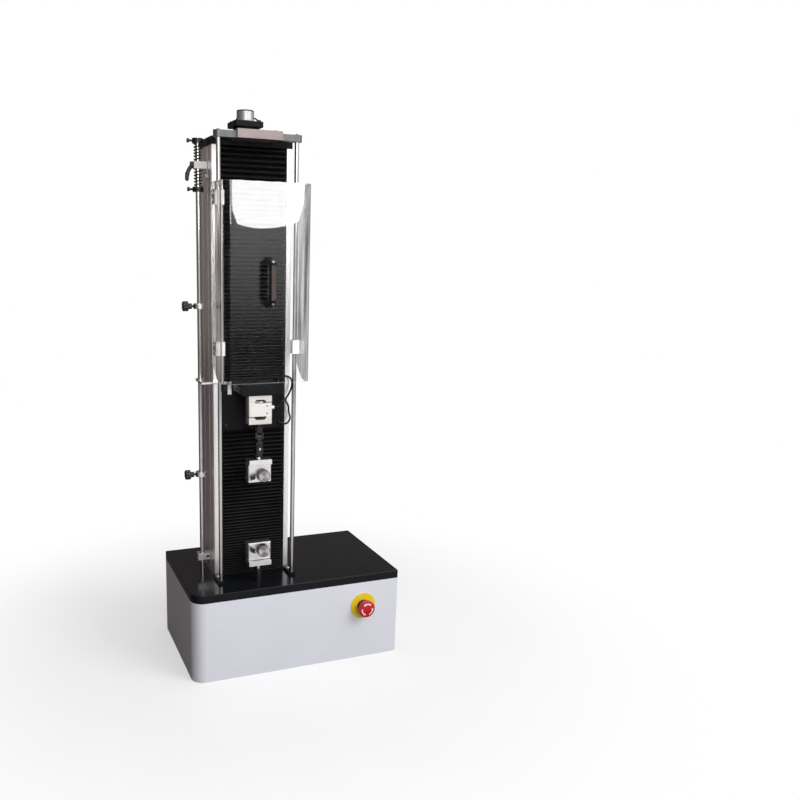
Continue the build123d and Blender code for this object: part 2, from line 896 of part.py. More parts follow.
# Ball nut and four rail blocks, all bolted to the carriage
with BuildPart() as carriage_bearings:
    with BuildSketch(Plane.XY.offset(body_top)):
        with Locations((column_x, screw_y)):
            Circle(nut_flange_radius)
            Circle(screw_radius + running_gap, mode=Mode.SUBTRACT)
    extrude(amount=nut_flange_height)
    with BuildSketch(Plane.XY.offset(body_top)):
        with Locations((column_x, screw_y)):
            Circle(nut_radius)
            Circle(screw_radius + running_gap, mode=Mode.SUBTRACT)
    extrude(amount=-nut_length)
    block_bottom = body_bottom + (carriage_height - block_pitch - block_length) / 2
    for level in (block_bottom, block_bottom + block_pitch):
        with BuildSketch(Plane.XY.offset(level)):
            with Locations((column_x, carriage_back)):
                with GridLocations(rail_spacing, 0, 2, 1):
                    Rectangle(block_width, block_height, align=(Align.CENTER, Align.MIN))
            with Locations((column_x, rail_face)):
                with GridLocations(rail_spacing, 0, 2, 1):
                    Rectangle(
                        rail_width + 2 * rail_clearance,
                        rail_height + rail_clearance,
                        align=(Align.CENTER, Align.MAX),
                        mode=Mode.SUBTRACT,
                    )
        extrude(amount=block_length)
save(carriage_bearings, "carriage_bearings")

# Arm that holds the load cell out in front of the column
with BuildPart() as crosshead_arm:
    with BuildSketch(Plane.XZ.offset(-plate_front)):
        with Locations((column_x, arm_top - arm_height / 2)):
            RectangleRounded(arm_width, arm_height, arm_corner)
    extrude(amount=plate_front - arm_front)
    chamfer(crosshead_arm.faces().sort_by(Axis.Y)[0].edges(), fine_edge)
save(crosshead_arm, "crosshead_arm")

# Bar on the crosshead that works the limit rod's stops
with BuildPart() as trigger_arm:
    with BuildSketch(Plane.XY.offset(carriage_top)):
        with Locations((trip_arm_left, trip_arm_y - trip_arm_width / 2)):
            Rectangle(trip_arm_end - trip_arm_left, trip_arm_width, align=(Align.MIN, Align.MIN))
            Rectangle(
                trip_arm_width,
                trip_y - trip_arm_y + trip_arm_width / 2,
                align=(Align.MIN, Align.MIN),
            )
        with Locations((trip_x, trip_y)):
            Circle(fork_radius)
            Circle(fork_slot / 2, mode=Mode.SUBTRACT)
            Rectangle(
                fork_radius, fork_slot, align=(Align.MAX, Align.CENTER), mode=Mode.SUBTRACT
            )
    extrude(amount=trip_arm_thickness)
    with Locations((trip_arm_end, plate_front, carriage_top)):
        Box(
            trip_tab_width,
            trip_tab_thickness,
            trip_tab_height,
            align=(Align.MAX, Align.MAX, Align.MAX),
        )
save(trigger_arm, "trigger_arm")

# S-shaped load cell: two windows, each open to one side by a thin slot
with BuildPart() as load_cell_body:
    with BuildSketch(Plane.XZ.offset(-load_y - cell_depth / 2)):
        with Locations((column_x, cell_middle)):
            Rectangle(cell_width, cell_height)
            for side in (1, -1):
                with Locations((0, side * cell_window_offset)):
                    RectangleRounded(
                        cell_window_width,
                        cell_window_height,
                        cell_window_height / 2 - 0.5,
                        mode=Mode.SUBTRACT,
                    )
                with Locations((side * cell_width / 4, side * cell_window_offset)):
                    Rectangle(cell_width / 2, cell_slot, mode=Mode.SUBTRACT)
    extrude(amount=cell_depth)
    chamfer(load_cell_body.edges().filter_by(Axis.Y).group_by(Axis.Z)[-1], fine_edge)
    with Locations((column_x, load_y, cell_bottom)):
        Cylinder(
            cell_stud_radius + running_gap, cell_stud_depth, align=AT_BASE, mode=Mode.SUBTRACT
        )
save(load_cell_body, "load_cell_body")

# Front and back cover plates of the load cell
with BuildPart() as load_cell_covers:
    for face in (load_y - cell_depth / 2 - cover_thickness, load_y + cell_depth / 2):
        with Locations((column_x, face, cell_middle)):
            Box(
                cover_width,
                cover_thickness,
                cover_height,
                align=(Align.CENTER, Align.MIN, Align.CENTER),
            )
    chamfer(load_cell_covers.edges().filter_by(Axis.Y), fine_edge)
save(load_cell_covers, "load_cell_covers")


def tube(points, radius):
    """A cord along straight runs joined by arcs."""
    with BuildPart() as cord:
        with BuildLine() as route:
            FilletPolyline(*points, radius=bend_radii(points))
        with BuildSketch(Plane(origin=points[0], z_dir=route.line % 0)):
            Circle(radius)
        sweep()
    share = cord.part.volume / (pi * radius**2 * sum(edge.length for edge in route.edges()))
    print("cord radii", [round(r, 1) for r in bend_radii(points)], "volume share", round(share, 4))
    return cord


# Black signal cable: a loop at the crosshead's right end, held by one tie
plate_right = column_x + plate_width / 2
cable_end_x = plate_right - cable_inset
cable_start_y = plate_front + 1.6 * cable_radius
cable_lane = plate_front - 2 * cable_radius
cable_bends = (
    (0.17, 1.0, 0.13),
    (0.78, 0.0, 0.08),
    (1.0, 0.0, -0.08),
    (0.72, 0.0, -0.27),
    (0.06, 0.0, -0.46),
    (0.56, 0.0, -0.60),
    (0.56, 0.0, -0.76),
    (0.83, 0.0, -0.91),
    (0.44, -1.5, -1.03),
    (-0.22, -2.5, -1.04),
)
cable_points = [
    (cable_end_x, cable_start_y, carriage_top),
    (cable_end_x, cable_start_y, carriage_top + 0.09 * cable_drop),
]
for across, forward, up in cable_bends:
    cable_points.append((
        plate_right + across * cable_reach,
        cable_lane + forward * cable_radius,
        carriage_top + up * cable_drop,
    ))
cable_points.append((cable_end_x, cable_lane - 1.5 * cable_radius, carriage_top - cable_drop))
cable_points.append((cable_end_x, plate_front, carriage_top - cable_drop))
crosshead_cable = tube(cable_points, cable_radius)
save(crosshead_cable, "crosshead_cable")

# Gland of the load cell and its thin lead to the tie
cell_right = column_x + cell_width / 2
lead_points = [
    (cell_right + gland_length + running_gap, load_y, gland_level),
    (cell_right + 2 * gland_length, load_y, gland_level),
    (cell_right + 3.25 * gland_length, load_y + gland_length, gland_level + 0.4 * lead_rise),
    (plate_right - cable_inset, cable_lane - 6.5 * cable_radius, gland_level + 0.9 * lead_rise),
    (plate_right - 2 * cable_radius, cable_lane - 2 * cable_radius, gland_level + lead_rise),
]
with BuildPart() as load_cell_lead:
    with Locations(towards_right(cell_right, load_y, gland_level)):
        Cylinder(gland_radius, gland_length, align=AT_BASE)
    chamfer(load_cell_lead.edges().group_by(Axis.X)[-1], fine_edge)
    add(tube(lead_points, lead_radius).part)
save(load_cell_lead, "load_cell_lead")

# Clevis screwed into the load cell, with its lock nut
ear_inner = tongue_thickness / 2 + running_gap * 4
with BuildPart() as cell_clevis:
    with Locations((column_x, load_y, nut_level)):
        Cylinder(cell_stud_radius, nut_height + cell_stud_depth - running_gap, align=AT_BASE)
    with BuildSketch(Plane.XY.offset(nut_level)):
        with Locations((column_x, load_y)):
            RegularPolygon(lock_nut_radius, 6)
    extrude(amount=nut_height)
    with Locations((column_x, load_y, clevis_bottom)):
        Cylinder(clevis_radius, clevis_height, align=AT_BASE)
    for start in (ear_inner, -ear_inner - ear_thickness):
        with BuildSketch(Plane.YZ.offset(column_x + start)):
            with Locations((load_y, upper_pin_z)):
                Circle(ear_radius)
                Rectangle(2 * ear_radius, pin_drop, align=(Align.CENTER, Align.MIN))
                Circle(pin_radius + running_gap, mode=Mode.SUBTRACT)
        extrude(amount=ear_thickness)
save(cell_clevis, "cell_clevis")

# Cross link of the universal joint, with its two pins
with BuildPart() as coupling_cross:
    waist_top = (upper_pin_z + lower_pin_z + cross_waist) / 2
    waist_bottom = waist_top - cross_waist
    with Locations((column_x, load_y, waist_bottom)):
        Box(2 * ear_radius, 2 * ear_radius, cross_waist, align=AT_BASE)
    with BuildSketch(Plane.YZ.offset(column_x - tongue_thickness / 2)):
        with Locations((load_y, upper_pin_z)):
            Circle(ear_radius)
            Rectangle(2 * ear_radius, upper_pin_z - waist_top, align=(Align.CENTER, Align.MAX))
            Circle(pin_radius + running_gap, mode=Mode.SUBTRACT)
    extrude(amount=tongue_thickness)
    with BuildSketch(Plane.XZ.offset(-load_y - tongue_thickness / 2)):
        with Locations((column_x, lower_pin_z)):
            Circle(ear_radius)
            Rectangle(2 * ear_radius, waist_bottom - lower_pin_z, align=(Align.CENTER, Align.MIN))
            Circle(pin_radius + running_gap, mode=Mode.SUBTRACT)
    extrude(amount=tongue_thickness)
    with Locations((column_x, load_y, upper_pin_z)):
        Cylinder(pin_radius, pin_length, rotation=(0, 90, 0))
    with Locations((column_x, load_y, lower_pin_z)):
        Cylinder(pin_radius, pin_length, rotation=(90, 0, 0))
save(coupling_cross, "coupling_cross")

# Lower eye of the joint, screwed on to the upper grip
with BuildPart() as grip_eye:
    with Locations((column_x, load_y, eye_top - eye_height)):
        Cylinder(clevis_radius, eye_height, align=AT_BASE)
    for start in (ear_inner, -ear_inner - ear_thickness):
        with BuildSketch(Plane.XZ.offset(-load_y + start)):
            with Locations((column_x, lower_pin_z)):
                Circle(ear_radius)
                Rectangle(2 * ear_radius, pin_to_eye, align=(Align.CENTER, Align.MAX))
                Circle(pin_radius + running_gap, mode=Mode.SUBTRACT)
        extrude(amount=ear_thickness)
save(grip_eye, "grip_eye")

# Adapter that stands on the lid under the lower grip
with BuildPart() as base_adapter:
    with Locations((column_x, load_y, lid_top)):
        Cylinder(adapter_foot_radius, adapter_foot_height, align=AT_BASE)
        Cylinder(adapter_neck_radius, adapter_height, align=AT_BASE)
    with Locations((column_x, load_y, lid_top + adapter_height)):
        Cylinder(adapter_head_radius, adapter_head_height, align=AT_TOP)
    chamfer(base_adapter.edges().group_by(Axis.Z)[-1], fine_edge)
save(base_adapter, "base_adapter")

# The two grips are alike, and the lower one is turned upside down
for name, tip, way, stud_radius, stud_height, bar_angle in (
    ("upper", upper_grip_tip, 1, grip_stud_radius, grip_stud_height, upper_lock_angle),
    ("lower", lower_grip_tip, -1, lower_stud_radius, lower_stud_height, lower_lock_angle),
):
    jaw_middle = tip + way * jaw_height / 2
    yoke_middle = tip + way * (jaw_height + yoke_height / 2)
    stud_middle = tip + way * (jaw_height + yoke_height + stud_height / 2)
    knob_z = tip + way * knob_from_tip
    lock_z = tip + way * lock_from_tip
    knob_x = column_x + knob_offset
    lock_x = column_x + lock_offset
    knob_back = front_jaw_front - knob_standoff

    with BuildPart() as grip_body:
        with Locations((column_x, grip_back, jaw_middle)):
            Box(
                grip_width,
                back_jaw_thickness,
                jaw_height,
                align=(Align.CENTER, Align.MAX, Align.CENTER),
            )
        with Locations((column_x, grip_back, yoke_middle)):
            Box(
                yoke_width,
                grip_back - yoke_front,
                yoke_height,
                align=(Align.CENTER, Align.MAX, Align.CENTER),
            )
        far_edges = grip_body.edges().filter_by(Axis.Y).sort_by(lambda e: abs(e.center().Z - tip))
        chamfer(far_edges[-2:], yoke_edge)
        with Locations((column_x, load_y, stud_middle)):
            Cylinder(stud_radius, stud_height)
        with Locations(towards_front(knob_x, grip_back, knob_z)):
            Cylinder(
                spindle_radius + spindle_gap,
                back_jaw_thickness,
                align=AT_BASE,
                mode=Mode.SUBTRACT,
            )
        with Locations(towards_front(lock_x, grip_back, lock_z)):
            Cylinder(
                lock_screw_radius + spindle_gap,
                back_jaw_thickness,
                align=AT_BASE,
                mode=Mode.SUBTRACT,
            )
    save(grip_body, f"{name}_grip_body")

    with BuildPart() as front_jaw:
        with Locations((column_x, front_jaw_back, tip + way * (jaw_height - jaw_top_gap) / 2)):
            Box(
                grip_width,
                front_jaw_thickness,
                jaw_height - jaw_top_gap,
                align=(Align.CENTER, Align.MAX, Align.CENTER),
            )
        chamfer(front_jaw.faces().sort_by(Axis.Y)[0].edges(), jaw_chamfer)
        with Locations(towards_front(knob_x, front_jaw_back, knob_z)):
            Cylinder(
                spindle_radius + spindle_gap,
                front_jaw_thickness,
                align=AT_BASE,
                mode=Mode.SUBTRACT,
            )
        with Locations(towards_front(lock_x, front_jaw_back, lock_z)):
            Cylinder(
                lock_screw_radius + spindle_gap,
                front_jaw_thickness,
                align=AT_BASE,
                mode=Mode.SUBTRACT,
            )
    save(front_jaw, f"{name}_front_jaw")

    with BuildPart() as clamp_knob:
        with Locations(towards_front(knob_x, knob_back, knob_z)):
            Cylinder(knob_radius, knob_thickness, align=AT_BASE)
        chamfer(clamp_knob.edges(), knob_chamfer)
        with Locations(towards_front(knob_x, front_jaw_front, knob_z)):
            Cylinder(knob_hub_radius, knob_standoff, align=AT_BASE)
        with Locations(towards_front(knob_x, grip_back - knob_chamfer, knob_z)):
            Cylinder(spindle_radius, grip_back - knob_chamfer - knob_back, align=AT_BASE)
    save(clamp_knob, f"{name}_clamp_knob")

    with BuildPart() as lock_screw:
        with Locations(towards_front(lock_x, front_jaw_front, lock_z)):
            Cylinder(lock_hub_radius, lock_hub_length, align=AT_BASE)
        chamfer(lock_screw.edges().group_by(Axis.Y)[0], fine_edge)
        with Locations(towards_front(lock_x, grip_back - knob_chamfer, lock_z)):
            Cylinder(
                lock_screw_radius, grip_back - knob_chamfer - front_jaw_front, align=AT_BASE
            )
        with Locations((lock_x, front_jaw_front - lock_hub_length * 0.6, lock_z)):
            Cylinder(lock_bar_radius, lock_bar_length, rotation=(0, 90 - bar_angle, 0))
    save(lock_screw, f"{name}_lock_screw")

# Clear guard, bent from one sheet
with BuildPart() as guard_shell:
    guard_depth = guard_back - guard_front
    with BuildSketch(Plane.XY.offset(guard_bottom)) as guard_outside:
        with Locations((column_x, guard_front)):
            Rectangle(2 * guard_half_width, guard_depth, align=(Align.CENTER, Align.MIN))
        fillet(guard_outside.vertices().group_by(Axis.Y)[0], guard_bend)
    extrude(amount=guard_height)
    with BuildSketch(Plane.XY.offset(guard_bottom)) as guard_inside:
        with Locations((column_x, guard_front + guard_sheet)):
            Rectangle(
                2 * (guard_half_width - guard_sheet), guard_depth, align=(Align.CENTER, Align.MIN)
            )
        fillet(guard_inside.vertices().group_by(Axis.Y)[0], guard_bend - guard_sheet)
    extrude(amount=guard_height, mode=Mode.SUBTRACT)
    with BuildSketch(Plane.YZ.offset(column_x - guard_half_width)):
        with BuildLine():
            Polyline(
                (guard_back, guard_bottom),
                (guard_back - guard_chamfer_y, guard_bottom),
                (guard_back, guard_bottom + guard_chamfer_z),
                close=True,
            )
        make_face()
    extrude(amount=2 * guard_half_width, mode=Mode.SUBTRACT)
save(guard_shell, "guard_shell")

# Four slider blocks that hold the guard to its rods
slider_outer = guard_half_width - guard_sheet
slider_inner = rod_spread - rod_radius - slider_wall
with BuildPart() as guard_sliders:
    for level in slider_levels:
        with BuildSketch(Plane.XY.offset(level)):
            for side in (-1, 1):
                with Locations((column_x + side * (slider_outer + slider_inner) / 2, rod_y)):
                    Rectangle(slider_outer - slider_inner, slider_depth)
                with Locations((column_x + side * rod_spread, rod_y)):
                    Circle(rod_radius + spindle_gap, mode=Mode.SUBTRACT)
        extrude(amount=slider_height)
save(guard_sliders, "guard_sliders")

# Pull handle on the guard
with BuildPart() as guard_handle:
    handle_side = Plane(
        origin=(column_x - handle_width / 2, guard_front, handle_level),
        x_dir=(0, 1, 0),
        z_dir=(1, 0, 0),
    )
    with BuildSketch(handle_side):
        for inset, corner, mode in (
            (0, handle_corner, Mode.ADD),
            (handle_thickness, handle_corner / 2, Mode.SUBTRACT),
        ):
            half = handle_length / 2 - inset
            reach = handle_standoff - inset
            with BuildLine():
                FilletPolyline(
                    (0, -half),
                    (-reach, -half + handle_taper),
                    (-reach, half - handle_taper),
                    (0, half),
                    radius=corner,
                )
                Line((0, half), (0, -half))
            make_face(mode=mode)
    extrude(amount=handle_width)
    chamfer(guard_handle.faces().sort_by(Axis.Y)[0].edges().filter_by(Axis.Z), handle_edge)
save(guard_handle, "guard_handle")

# Two guard rods, their feet and the bar across their tops
with BuildPart() as guard_rods:
    rod_bottom = lid_top + foot_height - foot_socket
    for side in (-1, 1):
        with Locations((column_x + side * rod_spread, rod_y, rod_bottom)):
            Cylinder(rod_radius, crossbar_level - rod_bottom, align=AT_BASE)
save(guard_rods, "guard_rods")

with BuildPart() as guard_rod_feet:
    for side in (-1, 1):
        with Locations((column_x + side * rod_spread, column_front, lid_top)):
            Box(
                foot_width,
                column_front - foot_front,
                foot_height,
                align=(Align.CENTER, Align.MAX, Align.MIN),
            )
        with Locations((column_x + side * rod_spread, rod_y, rod_bottom)):
            Cylinder(rod_radius + running_gap, foot_socket, align=AT_BASE, mode=Mode.SUBTRACT)
save(guard_rod_feet, "guard_rod_feet")

with BuildPart() as guard_crossbar:
    with BuildSketch(Plane.XY.offset(crossbar_level)):
        with Locations((column_x, rod_y)):
            SlotCenterToCenter(2 * rod_spread, crossbar_depth)
    extrude(amount=crossbar_height)
save(guard_crossbar, "guard_crossbar")

# Block that clasps the bar and seats on the column's top plate
with BuildPart() as crossbar_block:
    bar_front = rod_y - crossbar_depth / 2
    bar_back = rod_y + crossbar_depth / 2
    bar_top = crossbar_level + crossbar_height
    block_top = bar_top + crossbar_block_cap
    plate_edge_y = column_front - top_plate_overhang
    with BuildSketch(Plane.YZ.offset(column_x - crossbar_block_width / 2)):
        with BuildLine():
            Polyline(
                (bar_front - crossbar_block_wall, crossbar_level),
                (bar_front - crossbar_block_wall, block_top),
                (plate_edge_y + crossbar_block_tail, block_top),
                (plate_edge_y + crossbar_block_tail, plate_top),
                (plate_edge_y, plate_top),
                (plate_edge_y, crossbar_level),
                (bar_back, crossbar_level),
                (bar_back, bar_top),
                (bar_front, bar_top),
                (bar_front, crossbar_level),
                close=True,
            )
        make_face()
    extrude(amount=crossbar_block_width)
    chamfer(crossbar_block.faces().sort_by(Axis.Z)[-1].edges(), fine_edge)
save(crossbar_block, "crossbar_block")

# Limit rod with the two collars that hold its springs
with BuildPart() as limit_rod:
    with Locations((trip_x, trip_y, trip_bottom)):
        Cylinder(trip_radius, trip_top - trip_bottom, align=AT_BASE)
    for level in (
        upper_spring_level + upper_spring_length,
        lower_spring_level - spring_collar_height,
    ):
        with BuildSketch(Plane.XY.offset(level)):
            with Locations((trip_x, trip_y)):
                Circle(spring_collar_radius)
                Circle(trip_radius + running_gap, mode=Mode.SUBTRACT)
        extrude(amount=spring_collar_height)
        stem_x = trip_x - spring_collar_radius + fine_edge
        with Locations(towards_left(stem_x, trip_y, level + spring_collar_height / 2)):
            Cylinder(thumb_stem_radius, thumb_stem_length, align=AT_BASE)
        head_x = stem_x - thumb_stem_length
        with Locations(towards_left(head_x, trip_y, level + spring_collar_height / 2)):
            Cylinder(thumb_head_radius, thumb_head_length, align=AT_BASE)
save(limit_rod, "limit_rod")

# Springs that centre the limit rod about its switch
for name, level, length in (
    ("upper_trip_spring", upper_spring_level, upper_spring_length),
    ("lower_trip_spring", lower_spring_level, lower_spring_length),
):
    with BuildPart() as trip_spring:
        rise = length - 2 * spring_wire
        with BuildLine() as coil:
            Helix(
                pitch=rise / spring_turn_count,
                height=rise,
                radius=spring_radius,
                center=(trip_x, trip_y, level + spring_wire),
            )
        with BuildSketch(Plane(origin=coil.line @ 0, z_dir=coil.line % 0)):
            Circle(spring_wire)
        sweep(is_frenet=True)
    save(trip_spring, name)

# Switch block on the column, through which the limit rod slides
with BuildPart() as limit_switch_block:
    with BuildSketch(Plane.XY.offset(switch_level)):
        with Locations((trip_x - switch_left, trip_y)):
            Rectangle(
                column_left - trip_x + switch_left, switch_depth, align=(Align.MIN, Align.CENTER)
            )
        with Locations((trip_x, trip_y)):
            Circle(trip_hole_radius, mode=Mode.SUBTRACT)
    extrude(amount=switch_height)
    corners = limit_switch_block.edges().filter_by(Axis.Z).group_by(Axis.X)[0]
    fillet(corners, switch_corner)
save(limit_switch_block, "limit_switch_block")

# Curved lever on the switch block, with a metal ferrule
with BuildPart() as limit_lever:
    hub_right = trip_x - switch_left
    lever_z = switch_level + switch_height / 2
    lever_x = hub_right - lever_radius - trip_gap
    lever_start = (lever_x, trip_y, lever_z - lever_hub_radius / 2)
    lever_end = (lever_x - lever_reach, trip_y, lever_start[2] - lever_drop)
    with Locations(towards_left(hub_right, trip_y, lever_z)):
        Cylinder(lever_hub_radius, lever_hub_length, align=AT_BASE)
    with BuildLine() as lever_line:
        ThreePointArc(
            lever_start,
            (
                lever_x - lever_reach / 2 - lever_bow,
                trip_y,
                (lever_start[2] + lever_end[2]) / 2,
            ),
            lever_end,
        )
    with BuildSketch(Plane(origin=lever_line.line @ 0, z_dir=lever_line.line % 0)):
        Circle(lever_radius)
    sweep()
    with Locations(lever_end):
        Sphere(lever_radius)
    ferrule_at = ferrule_drop / lever_drop
    ferrule_plane = Plane(origin=lever_line.line @ ferrule_at, z_dir=lever_line.line % ferrule_at)
    with Locations(Location(ferrule_plane)):
        Cylinder(lever_radius + ferrule_rise, ferrule_length)
save(limit_lever, "limit_lever")

# Lower guide of the limit rod, a split clamp on the column's side
with BuildPart() as limit_rod_bracket:
    bracket_left = trip_x - bracket_width / 2
    with BuildSketch(Plane.XY.offset(bracket_level)):
        with Locations((bracket_left, trip_y)):
            Rectangle(column_left - bracket_left, bracket_depth, align=(Align.MIN, Align.CENTER))
            Rectangle(
                bracket_width / 2, bracket_slit, align=(Align.MIN, Align.CENTER), mode=Mode.SUBTRACT
            )
        with Locations((trip_x, trip_y)):
            Circle(trip_hole_radius, mode=Mode.SUBTRACT)
    extrude(amount=bracket_height)
save(limit_rod_bracket, "limit_rod_bracket")

# Stop collars on the limit rod, each locked by a star knob
for name, level in (("upper", upper_stop_level), ("lower", lower_stop_level)):
    stop_middle = level + stop_height / 2
    stop_left = trip_x - stop_radius
    with BuildPart() as stop_collar:
        with BuildSketch(Plane.XY.offset(level)):
            with Locations((trip_x, trip_y)):
                Circle(stop_radius)
                Circle(trip_hole_radius, mode=Mode.SUBTRACT)
        extrude(amount=stop_height)
        chamfer(stop_collar.edges().group_by(Axis.Z)[0], knob_edge)
        chamfer(stop_collar.edges().group_by(Axis.Z)[-1], knob_edge)
        with Locations(towards_left(trip_x, trip_y, stop_middle)):
            Cylinder(
                star_screw_radius + spindle_gap, stop_radius, align=AT_BASE, mode=Mode.SUBTRACT
            )
    save(stop_collar, f"{name}_stop_collar")

    with BuildPart() as star_knob:
        screw_tip = trip_x - trip_radius - trip_gap
        hub_x = stop_left - star_screw_gap
        with Locations(towards_left(screw_tip, trip_y, stop_middle)):
            Cylinder(star_screw_radius, screw_tip - hub_x, align=AT_BASE)
        with Locations(towards_left(hub_x, trip_y, stop_middle)):
            Cylinder(star_hub_radius, star_hub_length, align=AT_BASE)
        with BuildSketch(Plane(towards_left(hub_x - star_hub_length, trip_y, stop_middle))):
            Circle(star_radius)
            with PolarLocations(star_radius + star_bite / 2, star_lobe_count):
                Circle(star_bite, mode=Mode.SUBTRACT)
        extrude(amount=star_thickness)
        chamfer(star_knob.faces().sort_by(Axis.X)[0].edges(), knob_edge)
    save(star_knob, f"{name}_star_knob")

# Housing over the top of the screw, which carries the encoder
with BuildPart() as encoder_bracket:
    with Locations((column_x, screw_y, plate_top)):
        Cylinder(housing_neck_radius, housing_height - housing_flange_height, align=AT_BASE)
    with BuildSketch(Plane.XY.offset(plate_top + housing_height - housing_flange_height)):
        with Locations((column_x, screw_y)):
            RectangleRounded(housing_flange, housing_flange, housing_corner)
    extrude(amount=housing_flange_height)
    with Locations((column_x, screw_y, plate_top)):
        Cylinder(
            housing_bore,
            housing_height - housing_flange_height + seat_gap,
            align=AT_BASE,
            mode=Mode.SUBTRACT,
        )
save(encoder_bracket, "encoder_bracket")

# Encoder with its short cable
with BuildPart() as encoder:
    encoder_bottom = plate_top + housing_height
    with Locations((column_x, screw_y, encoder_bottom)):
        Cylinder(encoder_radius, encoder_height, align=AT_BASE)
    chamfer(encoder.edges().group_by(Axis.Z)[-1], fine_edge)
    cable_x = column_x + encoder_radius
    cable_z = encoder_bottom + encoder_cable_level
    with BuildLine() as encoder_route:
        FilletPolyline(
            (cable_x + running_gap, screw_y, cable_z),
            (cable_x + encoder_cable_reach, screw_y, cable_z),
            (cable_x + encoder_cable_reach, screw_y, encoder_bottom),
            radius=encoder_cable_reach / 2,
        )
    with BuildSketch(Plane(origin=encoder_route.line @ 0, z_dir=encoder_route.line % 0)):
        Circle(encoder_cable_radius)
    sweep()
save(encoder, "encoder")
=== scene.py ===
import math
import random

import bmesh
import bpy
from mathutils import Matrix, Vector


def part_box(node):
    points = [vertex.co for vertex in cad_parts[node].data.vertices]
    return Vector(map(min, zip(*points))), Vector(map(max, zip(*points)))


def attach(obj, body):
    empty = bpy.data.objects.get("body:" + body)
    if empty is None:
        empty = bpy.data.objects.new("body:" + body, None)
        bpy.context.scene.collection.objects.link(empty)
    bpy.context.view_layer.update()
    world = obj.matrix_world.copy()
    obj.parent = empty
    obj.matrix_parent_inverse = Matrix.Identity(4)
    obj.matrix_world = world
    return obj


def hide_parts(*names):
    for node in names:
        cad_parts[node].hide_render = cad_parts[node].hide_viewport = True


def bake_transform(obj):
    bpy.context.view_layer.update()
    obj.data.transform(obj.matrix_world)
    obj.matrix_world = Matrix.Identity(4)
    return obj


# Looks of a bench-top testing machine. Metres, X to the right, Y to the back, Z up.
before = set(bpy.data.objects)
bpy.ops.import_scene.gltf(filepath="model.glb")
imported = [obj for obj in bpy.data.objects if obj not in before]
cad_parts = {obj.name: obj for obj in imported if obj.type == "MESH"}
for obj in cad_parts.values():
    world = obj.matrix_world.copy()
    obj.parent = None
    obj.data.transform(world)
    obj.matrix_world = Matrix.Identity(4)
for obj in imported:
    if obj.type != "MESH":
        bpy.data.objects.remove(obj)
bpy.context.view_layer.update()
random.seed(7)

MM = 0.001
FRONT, BACK = Vector((0, -1, 0)), Vector((0, 1, 0))
LEFT, RIGHT = Vector((-1, 0, 0)), Vector((1, 0, 0))
UP = Vector((0, 0, 1))


def mm(x, y, z):
    return Vector((x, y, z)) * MM


def middle(node):
    low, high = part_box(node)
    return (low + high) / 2


# Materials
def start_material(name):
    material = bpy.data.materials.new(name)
    material.use_nodes = True
    tree = material.node_tree
    shader = tree.nodes["Principled BSDF"]
    return material, tree, shader


def place_coordinates(tree, stretch=(1, 1, 1)):
    coordinates = tree.nodes.new("ShaderNodeTexCoord")
    mapping = tree.nodes.new("ShaderNodeMapping")
    mapping.inputs["Scale"].default_value = stretch
    tree.links.new(coordinates.outputs["Object"], mapping.inputs["Vector"])
    return mapping.outputs["Vector"]


def noise(tree, vector, scale, detail=4.0, roughness=0.55):
    node = tree.nodes.new("ShaderNodeTexNoise")
    node.inputs["Scale"].default_value = scale
    node.inputs["Detail"].default_value = detail
    node.inputs["Roughness"].default_value = roughness
    tree.links.new(vector, node.inputs["Vector"])
    return node.outputs["Fac"]


def ramp(tree, factor, stops):
    node = tree.nodes.new("ShaderNodeValToRGB")
    while len(node.color_ramp.elements) < len(stops):
        node.color_ramp.elements.new(0.5)
    for element, (place, colour) in zip(node.color_ramp.elements, stops):
        element.position = place
        element.color = (*colour, 1)
    tree.links.new(factor, node.inputs["Fac"])
    return node.outputs["Color"]


def span(tree, factor, low, high):
    node = tree.nodes.new("ShaderNodeMapRange")
    node.inputs["To Min"].default_value = low
    node.inputs["To Max"].default_value = high
    tree.links.new(factor, node.inputs["Value"])
    return node.outputs["Result"]


def link_math(tree, operation, first, second):
    node = tree.nodes.new("ShaderNodeMath")
    node.operation = operation
    tree.links.new(first, node.inputs[0])
    tree.links.new(second, node.inputs[1])
    return node.outputs["Value"]


def bump(tree, shader, height, distance, strength=1.0, under=None):
    node = tree.nodes.new("ShaderNodeBump")
    node.inputs["Strength"].default_value = strength
    node.inputs["Distance"].default_value = distance
    tree.links.new(height, node.inputs["Height"])
    if under is not None:
        tree.links.new(under, node.inputs["Normal"])
    tree.links.new(node.outputs["Normal"], shader.inputs["Normal"])
    return node.outputs["Normal"]


def finish_of(
    name,
    light,
    dark,
    roughness=(0.35, 0.5),
    metallic=0.0,
    cloud=40.0,
    grain=2500.0,
    stretch=(1, 1, 1),
    depth=0.00002,
    coat=0.0,
    specular=0.5,
    anisotropic=0.0,
):
    """A surface with a clouded colour, uneven gloss and a fine grain that can be drawn out."""
    material, tree, shader = start_material(name)
    plain = place_coordinates(tree)
    drawn = place_coordinates(tree, stretch)
    clouds = noise(tree, plain, cloud)
    fine = noise(tree, drawn, grain, detail=3.0, roughness=0.7)
    mixed = tree.nodes.new("ShaderNodeMath")
    mixed.operation = "MULTIPLY_ADD"
    mixed.inputs[1].default_value = 0.5
    tree.links.new(fine, mixed.inputs[0])
    halved = span(tree, clouds, 0.0, 0.5)
    tree.links.new(halved, mixed.inputs[2])
    colour = ramp(tree, mixed.outputs["Value"], [(0.3, dark), (0.7, light)])
    tree.links.new(colour, shader.inputs["Base Color"])
    tree.links.new(span(tree, mixed.outputs["Value"], *roughness), shader.inputs["Roughness"])
    shader.inputs["Metallic"].default_value = metallic
    shader.inputs["Coat Weight"].default_value = coat
    shader.inputs["Coat Roughness"].default_value = 0.04
    shader.inputs["Specular IOR Level"].default_value = specular
    shader.inputs["Anisotropic"].default_value = anisotropic
    bump(tree, shader, fine, depth)
    return material


